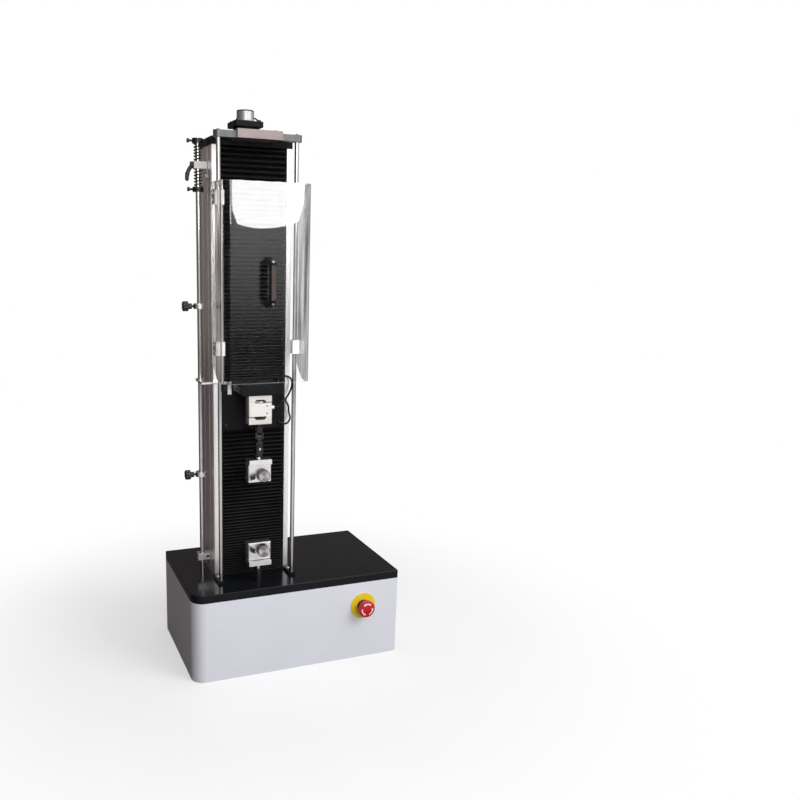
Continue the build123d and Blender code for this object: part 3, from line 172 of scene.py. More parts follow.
def turned_metal(name, light, dark, ring=0.0006, axis="Z"):
    """Faced metal: fine rings round the piece's own Z, which draw its highlight into a streak; its sides
    carry a painted shade colour.
    """
    material, tree, shader = start_material(name)
    vector = place_coordinates(tree)
    wave = tree.nodes.new("ShaderNodeTexWave")
    wave.wave_type = "RINGS"
    wave.rings_direction = axis
    wave.inputs["Scale"].default_value = 1 / (ring * 6.283)
    wave.inputs["Distortion"].default_value = 0.4
    wave.inputs["Detail"].default_value = 2.0
    tree.links.new(vector, wave.inputs["Vector"])
    clouds = noise(tree, vector, 250.0)
    face = ramp(tree, clouds, [(0.3, dark), (0.7, light)])
    # Painted shade: faces that don't look along Z, such as the knob's rim, get a fixed dark colour.
    colour = tree.nodes.new("ShaderNodeMix")
    colour.data_type = "RGBA"
    colour.inputs["A"].default_value = (0.10, 0.095, 0.10, 1)
    outwards = tree.nodes.new("ShaderNodeSeparateXYZ")
    place = tree.nodes.new("ShaderNodeTexCoord")
    tree.links.new(place.outputs["Normal"], outwards.inputs["Vector"])
    rim_shade_blend = tree.nodes.new("ShaderNodeMapRange")
    rim_shade_blend.inputs["From Min"].default_value = 0.6
    rim_shade_blend.inputs["From Max"].default_value = 0.9
    tree.links.new(outwards.outputs[axis], rim_shade_blend.inputs["Value"])
    tree.links.new(rim_shade_blend.outputs["Result"], colour.inputs["Factor"])
    tree.links.new(face, colour.inputs["B"])
    tree.links.new(colour.outputs["Result"], shader.inputs["Base Color"])
    tree.links.new(span(tree, clouds, 0.60, 0.66), shader.inputs["Roughness"])
    shader.inputs["Metallic"].default_value = 1.0
    shader.inputs["Anisotropic"].default_value = 1.0
    tangent = tree.nodes.new("ShaderNodeTangent")
    tangent.direction_type = "RADIAL"
    tangent.axis = axis
    tree.links.new(tangent.outputs["Tangent"], shader.inputs["Tangent"])
    bump(tree, shader, wave.outputs["Fac"], 0.000002, 0.3)
    return material


def handle_plastic(name, body, front_sheen):
    """Moulded black, with a paler painted sheen on the front faces over the middle of the grip's height.
    """
    material, tree, shader = start_material(name)
    place = tree.nodes.new("ShaderNodeTexCoord")
    normal = tree.nodes.new("ShaderNodeSeparateXYZ")
    tree.links.new(place.outputs["Normal"], normal.inputs["Vector"])
    height = tree.nodes.new("ShaderNodeSeparateXYZ")
    tree.links.new(place.outputs["Generated"], height.inputs["Vector"])
    within = tree.nodes.new("ShaderNodeMath")
    within.operation = "COMPARE"
    within.inputs[1].default_value = 0.5
    within.inputs[2].default_value = 0.33
    tree.links.new(height.outputs["Z"], within.inputs[0])
    front = tree.nodes.new("ShaderNodeMath")
    front.operation = "LESS_THAN"
    front.inputs[1].default_value = -0.9
    tree.links.new(normal.outputs["Y"], front.inputs[0])
    grain = noise(tree, place_coordinates(tree), 900.0)
    # Painted sheen: the front faces get a paler colour, standing in for the light that falls on them.
    pale = ramp(tree, grain, [(0.3, front_sheen), (0.7, tuple(1.2 * value for value in front_sheen))])
    colour = tree.nodes.new("ShaderNodeMix")
    colour.data_type = "RGBA"
    colour.inputs["A"].default_value = (*body, 1)
    tree.links.new(pale, colour.inputs["B"])
    sheen_mask = link_math(tree, "MULTIPLY", within.outputs["Value"], front.outputs["Value"])
    tree.links.new(sheen_mask, colour.inputs["Factor"])
    tree.links.new(colour.outputs["Result"], shader.inputs["Base Color"])
    tree.links.new(span(tree, grain, 0.34, 0.46), shader.inputs["Roughness"])
    shader.inputs["Specular IOR Level"].default_value = 0.12
    return material


def clear_sheet(name, base_tint_and_streak_shade, roughness, light=(0.97, 0.98, 0.98), streaks=(1, 1, 1), fade=None):
    """Clear plastic. A fade of (low z, high z) paints its reflections weak at its foot, growing to full
    strength upwards.
    """
    material, tree, shader = start_material(name)
    vector = place_coordinates(tree, streaks)
    haze_and_painted_streaks = noise(tree, vector, 14.0, detail=2.0)
    tree.links.new(span(tree, haze_and_painted_streaks, roughness[0], roughness[1]), shader.inputs["Roughness"])
    # With a dark tint and stretched streaks, as on the bends, this paints dark reflection streaks into
    # the colour; on the flat sheet it is a faint haze.
    colour = ramp(tree, haze_and_painted_streaks, [(0.35, base_tint_and_streak_shade), (0.65, light)])
    tree.links.new(colour, shader.inputs["Base Color"])
    shader.inputs["Transmission Weight"].default_value = 1.0
    shader.inputs["IOR"].default_value = 1.49
    # Painted reflection: the specular tint dims the sheet's reflections below the fade.
    if fade is not None:
        place = tree.nodes.new("ShaderNodeSeparateXYZ")
        tree.links.new(place_coordinates(tree), place.inputs["Vector"])
        height = tree.nodes.new("ShaderNodeMapRange")
        height.inputs["From Min"].default_value = fade[0]
        height.inputs["From Max"].default_value = fade[1]
        tree.links.new(place.outputs["Z"], height.inputs["Value"])
        reflection_falloff = ramp(tree, height.outputs["Result"], [(0.0, (0.12, 0.12, 0.12)), (1.0, (1, 1, 1))])
        tree.links.new(reflection_falloff, shader.inputs["Specular Tint"])
    waves = noise(tree, place_coordinates(tree, (1, 1, 0.25)), 9.0, detail=1.0)
    bump(tree, shader, waves, 0.0002, 0.25)
    return material


GREY_PAINT = finish_of(
    "grey_powder_coat", (0.79, 0.805, 0.86), (0.75, 0.765, 0.82), (0.38, 0.46), grain=1500.0,
    depth=0.00003, cloud=12.0,
)
GLOSS_BLACK = finish_of(
    "gloss_black_lid", (0.010, 0.011, 0.014), (0.005, 0.0055, 0.007), (0.13, 0.20), cloud=18.0,
    grain=900.0, depth=0.000002, specular=0.2,
)
COLUMN_ALLOY = finish_of(
    "drawn_column_alloy", (0.93, 0.905, 0.89), (0.85, 0.825, 0.81), (0.26, 0.36), metallic=0.9,
    stretch=(1, 1, 0.012), grain=1800.0, depth=0.000012, cloud=9.0,
)
PALE_ALLOY = finish_of(
    "satin_alloy", (0.74, 0.735, 0.72), (0.66, 0.655, 0.64), (0.28, 0.40), metallic=0.9,
    grain=2200.0, depth=0.000008,
)
BRUSHED_ALLOY = finish_of(
    "brushed_alloy", (0.78, 0.755, 0.70), (0.66, 0.635, 0.585), (0.30, 0.44), metallic=0.85,
    stretch=(0.03, 1, 1), grain=3200.0, depth=0.00001, cloud=25.0,
)
COVER_ALLOY = finish_of(
    "bright_cover", (0.86, 0.85, 0.82), (0.76, 0.75, 0.72), (0.30, 0.42), metallic=0.75,
    stretch=(0.03, 1, 1), grain=3200.0, depth=0.000008, cloud=25.0,
)
GREY_ALLOY = finish_of(
    "grey_anodised", (0.17, 0.17, 0.175), (0.10, 0.10, 0.105), (0.30, 0.42), metallic=0.6,
    grain=2200.0, depth=0.000008,
)
CAN_ALLOY = finish_of(
    "brushed_can_alloy", (0.50, 0.49, 0.50), (0.38, 0.37, 0.38), (0.34, 0.46), metallic=0.7,
    stretch=(1, 1, 12), grain=1500.0, depth=0.00001,
)
BEIGE_ALLOY = finish_of(
    "beige_brushed_alloy", (0.29, 0.245, 0.24), (0.19, 0.16, 0.155), (0.32, 0.46), metallic=0.85,
    stretch=(0.03, 1, 1), grain=3200.0, depth=0.00001, cloud=25.0,
)
BLACK_ALLOY = finish_of(
    "black_anodised", (0.012, 0.012, 0.014), (0.006, 0.006, 0.007), (0.32, 0.44), grain=2600.0,
    depth=0.000008, specular=0.08,
)
MILLED_STEEL = finish_of(
    "milled_steel", (0.84, 0.83, 0.82), (0.66, 0.655, 0.65), (0.24, 0.38), metallic=1.0,
    stretch=(1, 1, 0.05), grain=2800.0, depth=0.00001, cloud=60.0,
)
CHROME_ROD = finish_of(
    "ground_rod", (0.62, 0.60, 0.605), (0.46, 0.44, 0.445), (0.08, 0.16), metallic=1.0,
    stretch=(1, 1, 6), grain=900.0, depth=0.000002, cloud=30.0,
)
DARK_STEEL = finish_of(
    "blackened_steel", (0.045, 0.043, 0.042), (0.016, 0.0155, 0.015), (0.22, 0.40), metallic=0.7,
    grain=1500.0, depth=0.000012, cloud=90.0,
)
ZINC = finish_of(
    "zinc_plate", (0.62, 0.62, 0.61), (0.46, 0.46, 0.45), (0.26, 0.42), metallic=0.9,
    cloud=70.0, grain=1200.0, depth=0.000006,
)
MOTOR_BLACK = finish_of(
    "motor_lacquer", (0.03, 0.03, 0.032), (0.018, 0.018, 0.02), (0.32, 0.48), depth=0.00002,
)
CLOTH = finish_of(
    "bellows_cloth", (0.012, 0.011, 0.013), (0.005, 0.0045, 0.0055), (0.42, 0.60), grain=2600.0,
    stretch=(1, 1, 2), depth=0.00003, cloud=35.0, specular=0.14,
)
RUBBER = finish_of("black_rubber", (0.02, 0.02, 0.02), (0.01, 0.01, 0.01), (0.5, 0.7))
CABLE = finish_of(
    "cable_jacket", (0.010, 0.010, 0.014), (0.005, 0.005, 0.008), (0.34, 0.48), grain=1600.0,
    depth=0.000015, specular=0.2,
)
MATT_BLACK = finish_of(
    "moulded_black", (0.026, 0.026, 0.028), (0.014, 0.014, 0.015), (0.38, 0.52), grain=1700.0,
    depth=0.00002,
)
DARK_PLASTIC = finish_of(
    "dark_plastic", (0.04, 0.04, 0.043), (0.024, 0.024, 0.026), (0.22, 0.34), depth=0.00001,
)
WHITE_PLASTIC = finish_of(
    "white_acetal", (0.92, 0.92, 0.90), (0.86, 0.86, 0.84), (0.32, 0.44), depth=0.00001,
)
RED_PLASTIC = finish_of(
    "red_plastic", (0.60, 0.012, 0.018), (0.50, 0.008, 0.012), (0.24, 0.34), cloud=60.0,
    grain=1400.0, depth=0.00001, coat=0.2,
)
# The second colour is the painted sheen on the handle's front faces.
HANDLE_BLACK = handle_plastic("handle_black", (0.006, 0.006, 0.007), (0.085, 0.066, 0.062))
WHITE_INK = finish_of("white_ink", (0.86, 0.86, 0.85), (0.80, 0.80, 0.79), (0.35, 0.5))
YELLOW = finish_of(
    "yellow_plastic", (0.88, 0.66, 0.03), (0.80, 0.58, 0.02), (0.34, 0.44), depth=0.00001,
)
SPRING_STEEL = finish_of(
    "spring_steel", (0.74, 0.73, 0.71), (0.54, 0.53, 0.51), (0.16, 0.28), metallic=1.0,
    cloud=300.0,
)
TURNED = turned_metal("turned_steel", (0.62, 0.60, 0.60), (0.46, 0.44, 0.44))
GUARD_LOW, GUARD_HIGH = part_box("guard_shell")
# Painted reflection: the sheet's reflections are dimmed near its foot.
ACRYLIC = clear_sheet(
    "clear_acrylic", (0.93, 0.95, 0.95), (0.0, 0.02),
    fade=(GUARD_LOW.z + 0.09, GUARD_HIGH.z - 0.10),
)
# Bends: a dark streaky tint painted in for the reflections of dark surroundings, and reflections painted
# weak over the whole bend, as its fade starts above the sheet.
ACRYLIC_BEND_PAINTED_STREAKS = clear_sheet(
    "acrylic_bend_painted_streaks", (0.24, 0.22, 0.21), (0.02, 0.10), light=(0.80, 0.79, 0.79),
    streaks=(6, 6, 0.5), fade=(GUARD_HIGH.z, GUARD_HIGH.z + 0.2),
)
ACRYLIC_EDGE = finish_of(
    "acrylic_cut_edge", (0.62, 0.63, 0.63), (0.44, 0.45, 0.45), (0.25, 0.40), grain=900.0,
)

NODE_FINISH = {
    GREY_PAINT: ["base_shell"],
    GLOSS_BLACK: ["base_lid"],
    ZINC: ["base_floor", "motor_mount", "control_unit"],
    MOTOR_BLACK: ["drive_motor"],
    RUBBER: ["drive_belt"],
    DARK_PLASTIC: ["power_inlet"],
    RED_PLASTIC: ["power_rocker", "estop_head"],
    YELLOW: ["estop_disc"],
    MATT_BLACK: [
        "estop_collar", "estop_stem", "upper_star_knob", "lower_star_knob",
        "limit_lever",
    ],
    COLUMN_ALLOY: ["column_extrusion"],
    GREY_ALLOY: ["guard_crossbar"],
    PALE_ALLOY: ["limit_rod_bracket"],
    BEIGE_ALLOY: ["crossbar_block"],
    BRUSHED_ALLOY: ["load_cell_body"],
    COVER_ALLOY: ["load_cell_covers"],
    BLACK_ALLOY: [
        "encoder_bracket", "guard_rod_feet", "column_top_plate", "crosshead_carriage",
        "crosshead_arm",
    ],
    DARK_STEEL: ["screw_bearings", "base_adapter", "cell_clevis", "coupling_cross", "grip_eye"],
    MILLED_STEEL: [
        "linear_rails", "motor_pulley", "carriage_bearings", "trigger_arm", "upper_grip_body",
        "upper_front_jaw", "lower_grip_body", "lower_front_jaw", "ball_screw",
        "upper_stop_collar", "lower_stop_collar", "encoder",
    ],
    CHROME_ROD: ["guard_rods", "limit_rod"],
    SPRING_STEEL: [
        "upper_trip_spring", "lower_trip_spring", "upper_lock_screw", "lower_lock_screw",
        "upper_clamp_knob", "lower_clamp_knob",
    ],
    WHITE_PLASTIC: ["limit_switch_block", "guard_sliders"],
    HANDLE_BLACK: ["guard_handle"],
    CLOTH: ["upper_bellows", "lower_bellows"],
    CABLE: ["load_cell_lead", "crosshead_cable"],
    ACRYLIC: ["guard_shell"],
}


def dress_nodes():
    for material, names in NODE_FINISH.items():
        for name in names:
            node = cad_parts[name]
            node.data.materials.clear()
            node.data.materials.append(material)


# Mesh helpers
def add_mesh(name, mesh_maker, material, body, at=None, towards=None, smooth=40):
    """A piece from a bmesh that mesh_maker fills in its own frame, with +Z turned towards."""
    mesh = bpy.data.meshes.new(name)
    shape = bmesh.new()
    mesh_maker(shape)
    bmesh.ops.remove_doubles(shape, verts=shape.verts, dist=1e-7)
    bmesh.ops.recalc_face_normals(shape, faces=shape.faces)
    shape.to_mesh(mesh)
    shape.free()
    piece = bpy.data.objects.new(name, mesh)
    bpy.context.scene.collection.objects.link(piece)
    turn = Matrix.Identity(4)
    if towards is not None:
        turn = towards.to_track_quat("Z", "Y").to_matrix().to_4x4()
    piece.matrix_world = Matrix.Translation(at if at is not None else Vector()) @ turn
    materials = material if isinstance(material, list) else [material]
    for one in materials:
        mesh.materials.append(one)
    mesh.polygons.foreach_set("use_smooth", [True] * len(mesh.polygons))
    if smooth < 180:
        mesh.set_sharp_from_angle(angle=math.radians(smooth))
    if body is not None:
        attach(piece, body)
    return piece


def ring_points(radius, height, count, wobble=None):
    points = []
    for i in range(count):
        angle = 2 * math.pi * i / count
        reach = radius if wobble is None else radius + wobble(angle)
        points.append(Vector((reach * math.cos(angle), reach * math.sin(angle), height)))
    return points


def join_rings(shape, rings, close_first=True, close_last=True):
    loops = [[shape.verts.new(point) for point in ring] for ring in rings]
    for low, high in zip(loops, loops[1:]):
        for i in range(len(low)):
            j = (i + 1) % len(low)
            shape.faces.new((low[i], low[j], high[j], high[i]))
    if close_first:
        shape.faces.new(list(reversed(loops[0])))
    if close_last:
        shape.faces.new(loops[-1])
    return loops


def lathe(profile, count=48):
    """Turns (radius, height) points round Z. Both ends are closed."""

    def make(shape):
        join_rings(shape, [ring_points(r, z, count) for r, z in profile])

    return make


def hex_reach(angle, across):
    """How far a hexagon's side is from its centre at an angle."""
    turned = (angle % (math.pi / 3)) - math.pi / 6
    return across / 2 / math.cos(turned)


def socket_head(radius, height, count=36):
    """A cap screw's head with a rounded rim and a hexagon socket."""

    def make(shape):
        rim = min(radius, height) * 0.18
        across = radius * 0.95

        def hexagon(angle):
            return hex_reach(angle, across)

        rings = [
            ring_points(radius, 0, count),
            ring_points(radius, height - rim, count),
            ring_points(radius - rim * 0.3, height - rim * 0.3, count),
            ring_points(radius - rim, height, count),
            ring_points(0, height, count, hexagon),
            ring_points(0, height * 0.45, count, hexagon),
        ]
        join_rings(shape, rings)

    return make


def button_head(radius, height, count=32):
    """A low domed head with a small hexagon socket."""

    def make(shape):
        across = radius * 0.8

        def hexagon(angle):
            return hex_reach(angle, across)

        rings = [
            ring_points(radius, 0, count),
            ring_points(radius * 0.97, height * 0.35, count),
            ring_points(radius * 0.85, height * 0.72, count),
            ring_points(radius * 0.66, height, count),
            ring_points(0, height, count, hexagon),
            ring_points(0, height * 0.4, count, hexagon),
        ]
        join_rings(shape, rings)

    return make


def along_path(points, radius, count=16):
    """A round wire along many close points, with closed ends."""

    def make(shape):
        side = None
        rings = []
        last = len(points) - 1
        for i, point in enumerate(points):
            heading = (points[min(i + 1, last)] - points[max(i - 1, 0)]).normalized()
            if side is None:
                side = heading.orthogonal().normalized()
            side = (side - heading * side.dot(heading)).normalized()
            other = heading.cross(side)
            rings.append(
                [
                    point + radius * (math.cos(a) * side + math.sin(a) * other)
                    for a in (2 * math.pi * k / count for k in range(count))
                ]
            )
        join_rings(shape, rings)

    return make


def smooth_curve(control, steps=12):
    """Close points on a smooth line through the control points."""
    ends = [2 * control[0] - control[1], *control, 2 * control[-1] - control[-2]]
    points = []
    for p0, p1, p2, p3 in zip(ends, ends[1:], ends[2:], ends[3:]):
        for k in range(steps):
            t = k / steps
            points.append(
                0.5
                * (
                    2 * p1
                    + (p2 - p0) * t
                    + (2 * p0 - 5 * p1 + 4 * p2 - p3) * t**2
                    + (3 * p1 - p0 - 3 * p2 + p3) * t**3
                )
            )
    points.append(control[-1])
    return points


# Bellows
COLUMN_X = middle("column_extrusion").x
CARRIAGE_LOW, CARRIAGE_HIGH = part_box("crosshead_carriage")
COLUMN_LOW, COLUMN_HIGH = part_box("column_extrusion")
FOLD_SHEET = 0.0011
RIDGE_ROUND = 0.0007
FOLD_COLUMNS = 24


def fold_levels(bottom, top, folds, first, last):
    pitches = [first + (last - first) * i / (folds - 1) for i in range(folds)]
    stretch = (top - bottom) / sum(pitches)
    levels = [bottom]
    for pitch in pitches:
        levels.append(levels[-1] + pitch * stretch)
    return levels


def bellows_maker(low, high, levels):
    """Pleats with rounded ridges."""

    def make(shape):
        front_y, back_y = low.y, high.y - FOLD_SHEET
        rows = []
        for start, end in zip(levels, levels[1:]):
            pitch = end - start
            sway = random.uniform(-0.0003, 0.0003)
            droop = random.uniform(-0.04, 0.04) * pitch
            rows += [
                (start, back_y, 0.0, 0.0),
                (start + pitch * 0.5 + droop - RIDGE_ROUND, front_y + RIDGE_ROUND, sway, 1.0),
                (start + pitch * 0.5 + droop, front_y + RIDGE_ROUND * 0.4, sway, 1.0),
                (start + pitch * 0.5 + droop + RIDGE_ROUND, front_y + RIDGE_ROUND, sway, 1.0),
            ]
        rows.append((levels[-1], back_y, 0.0, 0.0))
        width = high.x - low.x
        grid = []
        for height, y, sway, ridge in rows:
            line = []
            for i in range(FOLD_COLUMNS + 1):
                across = i / FOLD_COLUMNS
                x = low.x + width * across
                wave = sway * math.sin(across * math.pi * 2 + height * 900) * ridge
                line.append(shape.verts.new((x, y + abs(wave), height)))
            grid.append(line)
        for lower, upper in zip(grid, grid[1:]):
            for i in range(FOLD_COLUMNS):
                shape.faces.new((lower[i], lower[i + 1], upper[i + 1], upper[i]))

    return make


def make_bellows():
    for name, bottom, top, folds, first, last, fixed in (
        ("upper_bellows", CARRIAGE_HIGH.z, COLUMN_HIGH.z, 58, 5.5, 11.0, "top"),
        ("lower_bellows", COLUMN_LOW.z, CARRIAGE_LOW.z, 46, 5.0, 9.3, "bottom"),
    ):
        low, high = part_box(name)
        levels = fold_levels(bottom, top, folds, first, last)
        piece = add_mesh(
            name + "_pleats", bellows_maker(low, high, levels), CLOTH, None,
            smooth=30,
        )
        thicken = piece.modifiers.new("thickness", "SOLIDIFY")
        thicken.thickness = FOLD_SHEET
        thicken.offset = 0
        apply_modifiers(piece)
        centre = middle(name)
        ends = [Vector((centre.x, centre.y, bottom)), Vector((centre.x, centre.y, top))]
        if fixed == "top":
            ends.reverse()
        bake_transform(piece)
        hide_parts(name)


def apply_modifiers(piece):
    depsgraph = bpy.context.evaluated_depsgraph_get()
    shaped = bpy.data.meshes.new_from_object(piece.evaluated_get(depsgraph))
    piece.modifiers.clear()
    piece.data = shaped


# Springs of the limit rod
def make_springs():
    for name, fixed in (("upper_trip_spring", "bottom"), ("lower_trip_spring", "top")):
        low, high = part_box(name)
        centre = (low + high) / 2
        wire = 0.0011
        turns = 5.5
        radius = (high.x - low.x) / 2 - wire
        steps = int(turns * 28)
        points = []
        for i in range(steps + 1):
            share = i / steps
            angle = 2 * math.pi * turns * share
            flat = min(share, 1 - share) * turns
            ease = min(1.0, flat / 0.8)
            rise = low.z + wire + (high.z - low.z - 2 * wire) * share
            edge = low.z + wire if share < 0.5 else high.z - wire
            height = edge + (rise - edge) * (0.35 + 0.65 * ease)
            across = centre.x + radius * math.cos(angle)
            points.append(Vector((across, centre.y + radius * math.sin(angle), height)))
        coil = add_mesh(
            name + "_coil", along_path(points, wire, 12), DARK_STEEL, None,
            smooth=180,
        )
        ends = [Vector((centre.x, centre.y, low.z)), Vector((centre.x, centre.y, high.z))]
        if fixed == "top":
            ends.reverse()
        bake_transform(coil)
        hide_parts(name)


# Clear guard
GUARD_SHEET = 0.004
GUARD_BEND = 0.020
BEND_STEPS = 14


def guard_outline(low, high, inset):
    """The sheet's line in plan, from its left back edge round the front to its right."""
    left, right = low.x + inset, high.x - inset
    front, back = low.y + inset, high.y
    radius = GUARD_BEND - inset
    points = [(left, back)]
    for i in range(9):
        points.append((left, back + (front + radius - back) * (i + 1) / 9))
    for i in range(1, BEND_STEPS + 1):
        angle = math.pi / 2 * i / BEND_STEPS
        points.append((left + radius * (1 - math.cos(angle)), front + radius * (1 - math.sin(angle))))
    flat = right - left - 2 * radius
    for i in range(1, 13):
        points.append((left + radius + flat * i / 12, front))
    for i in range(1, BEND_STEPS + 1):
        angle = math.pi / 2 * i / BEND_STEPS
        across = right - radius + radius * math.sin(angle)
        points.append((across, front + radius * (1 - math.cos(angle))))
    for i in range(9):
        points.append((right, front + radius + (back - front - radius) * (i + 1) / 9))
    return points


def make_guard():
    low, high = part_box("guard_shell")
    corner_y, corner_z = 0.042, 0.038

    def make(shape):
        outer = guard_outline(low, high, 0)
        inner = guard_outline(low, high, GUARD_SHEET)

        def base(y):
            return low.z + max(0.0, (y - (high.y - corner_y)) / corner_y) * corner_z

        rows = 24
        sheets = []
        for outline in (outer, inner):
            grid = []
            for x, y in outline:
                bottom = base(y)
                grid.append(
                    [
                        shape.verts.new((x, y, bottom + (high.z - bottom) * k / rows))
                        for k in range(rows + 1)
                    ]
                )
            sheets.append(grid)
        a, b = sheets
        for i in range(len(a) - 1):
            flat_front = (a[i][0].co.y + a[i + 1][0].co.y) / 2 < low.y + 0.0004
            for k in range(rows):
                outside = shape.faces.new((a[i][k], a[i + 1][k], a[i + 1][k + 1], a[i][k + 1]))
                inside = shape.faces.new((b[i][k], b[i][k + 1], b[i + 1][k + 1], b[i + 1][k]))
                if not flat_front:
                    outside.material_index = inside.material_index = 2
            for k in (0, rows):
                edge = shape.faces.new((a[i][k], b[i][k], b[i + 1][k], a[i + 1][k]))
                edge.material_index = 1
        for i in (0, len(a) - 1):
            for k in range(rows):
                edge = shape.faces.new((a[i][k], a[i][k + 1], b[i][k + 1], b[i][k]))
                edge.material_index = 1

    finishes = [ACRYLIC, ACRYLIC_EDGE, ACRYLIC_BEND_PAINTED_STREAKS]
    guard = add_mesh("guard_sheet", make, finishes, "guard", smooth=30)
    guard.visible_shadow = False
    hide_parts("guard_shell")


# Turned clamp knobs and the grips' details
def knob_maker(radius, thickness, hub, standoff, flutes):
    def make(shape):
        count = flutes * 4
        depth = 0.00035

        def knurl(angle):
            return -depth * (0.5 + 0.5 * math.cos(angle * flutes)) ** 2

        edge = 0.0015
        rings = [
            ring_points(hub, 0, count),
            ring_points(hub, standoff, count),
            ring_points(radius - edge, standoff, count),
            ring_points(radius, standoff + edge, count),
            ring_points(radius, standoff + edge * 1.2, count, knurl),
            ring_points(radius, standoff + thickness - edge * 1.2, count, knurl),
            ring_points(radius, standoff + thickness - edge, count),
            ring_points(radius - edge, standoff + thickness, count),
            ring_points(radius * 0.30, standoff + thickness, count),
            ring_points(radius * 0.27, standoff + thickness - 0.0006, count),
            ring_points(radius * 0.02, standoff + thickness - 0.0009, count),
        ]
        join_rings(shape, rings)

    return make


def make_clamp_knobs():
    for side in ("upper", "lower"):
        node = side + "_clamp_knob"
        low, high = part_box(node)
        jaw_low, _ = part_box(side + "_front_jaw")
        at = Vector(((low.x + high.x) / 2, jaw_low.y, (low.z + high.z) / 2))
        radius = (high.x - low.x) / 2
        knob = add_mesh(
            node + "_turned", knob_maker(radius, jaw_low.y - low.y - 0.001, 0.008, 0.001, 48),
            TURNED, side + "_clamp", at, FRONT, smooth=35,
        )
        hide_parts(node)


def make_lock_screws():
    for side, angle in (("upper", 50), ("lower", -55)):
        node = side + "_lock_screw"
        low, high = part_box(node)
        jaw_low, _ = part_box(side + "_front_jaw")
        centre = Vector((COLUMN_X - 0.017, jaw_low.y, (low.z + high.z) / 2))
        length = jaw_low.y - low.y
        hub = add_mesh(
            node + "_hub",
            lathe([(0.0050, 0), (0.0050, length - 0.001), (0.0042, length), (0.0004, length)], 32),
            DARK_STEEL, side + "_lock", centre, FRONT, smooth=35,
        )
        lean = math.radians(angle)
        along = Vector((math.cos(lean), 0, math.sin(lean)))
        half = 0.0085
        profile = [(0.0003, -half), (0.0013, -half), (0.0015, -half + 0.0003)]
        profile += [(0.0015, half - 0.0003), (0.0013, half), (0.0003, half)]
        add_mesh(
            node + "_bar", lathe(profile, 20), DARK_STEEL, side + "_lock",
            centre + FRONT * length * 0.6, along, smooth=35,
        )
        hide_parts(node)


# Emergency stop
def make_estop():
    low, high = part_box("estop_head")
    centre = Vector(((low.x + high.x) / 2, high.y, (low.z + high.z) / 2))
    length = high.y - low.y
    radius = (high.x - low.x) / 2
    skirt = 0.0035
    profile = [(0.0070, 0), (0.0118, 0), (0.0120, 0.0004), (0.0120, skirt)]
    profile += [(0.0175, skirt + 0.0012), (radius - 0.0005, skirt + 0.0022), (radius, skirt + 0.0030)]
    profile += [(radius, length - 0.0036), (radius - 0.0003, length - 0.0028)]
    profile += [(radius - 0.0012, length - 0.0019)]
    for i in range(1, 10):
        share = 1 - i / 10
        profile.append(((radius - 0.0012) * share + 0.0002, length - 0.0019 * share**2))
    head = add_mesh(
        "estop_mushroom", lathe(profile, 72), RED_PLASTIC, "estop_head", centre,
        FRONT, smooth=30,
    )
    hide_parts("estop_head")
    for number in range(3):
        start = math.radians(90 + 120 * number - 40)
        add_mesh(
            f"estop_arrow_{number}", arrow_maker(0.0128, 0.0026, start, math.radians(62), length),
            WHITE_INK, "estop_head", centre, FRONT, smooth=30,
        )


def arrow_maker(radius, width, start, sweep, length):
    """A thin curved arrow on the head's dome."""

    def surface(reach, angle, lift):
        share = reach / 0.0183
        height = length - 0.0019 * share**2 + lift
        return Vector((reach * math.cos(angle), reach * math.sin(angle), height))

    def make(shape):
        steps = 14
        rows = []
        for i in range(steps + 1):
            angle = start + sweep * i / steps
            rows.append((radius - width / 2, radius + width / 2, angle))
        tip_angle = start + sweep + math.radians(22)
        barb = start + sweep
        rows.append((radius - width * 1.25, radius + width * 1.25, barb + 0.001))
        rows.append((radius - 0.00005, radius + 0.00005, tip_angle))
        lifts = (-0.0002, 0.00012)
        grids = []
        for lift in lifts:
            grid = []
            for inner, outer, angle in rows:
                grid.append([shape.verts.new(surface(reach, angle, lift)) for reach in (inner, outer)])
            grids.append(grid)
        lower, upper = grids
        for i in range(len(rows) - 1):
            shape.faces.new((upper[i][0], upper[i][1], upper[i + 1][1], upper[i + 1][0]))
            shape.faces.new((lower[i][0], lower[i + 1][0], lower[i + 1][1], lower[i][1]))
            for k in (0, 1):
                shape.faces.new((lower[i][k], upper[i][k], upper[i + 1][k], lower[i + 1][k]))
        for i in (0, len(rows) - 1):
            shape.faces.new((lower[i][0], lower[i][1], upper[i][1], upper[i][0]))

    return make


# Screws and other small fasteners
def screws(name, places, towards, radius, height, material, body, maker=socket_head):
    for number, place in enumerate(places):
        add_mesh(
            f"{name}_{number}", maker(radius, height), material, body, place, towards,
            smooth=35,
        )


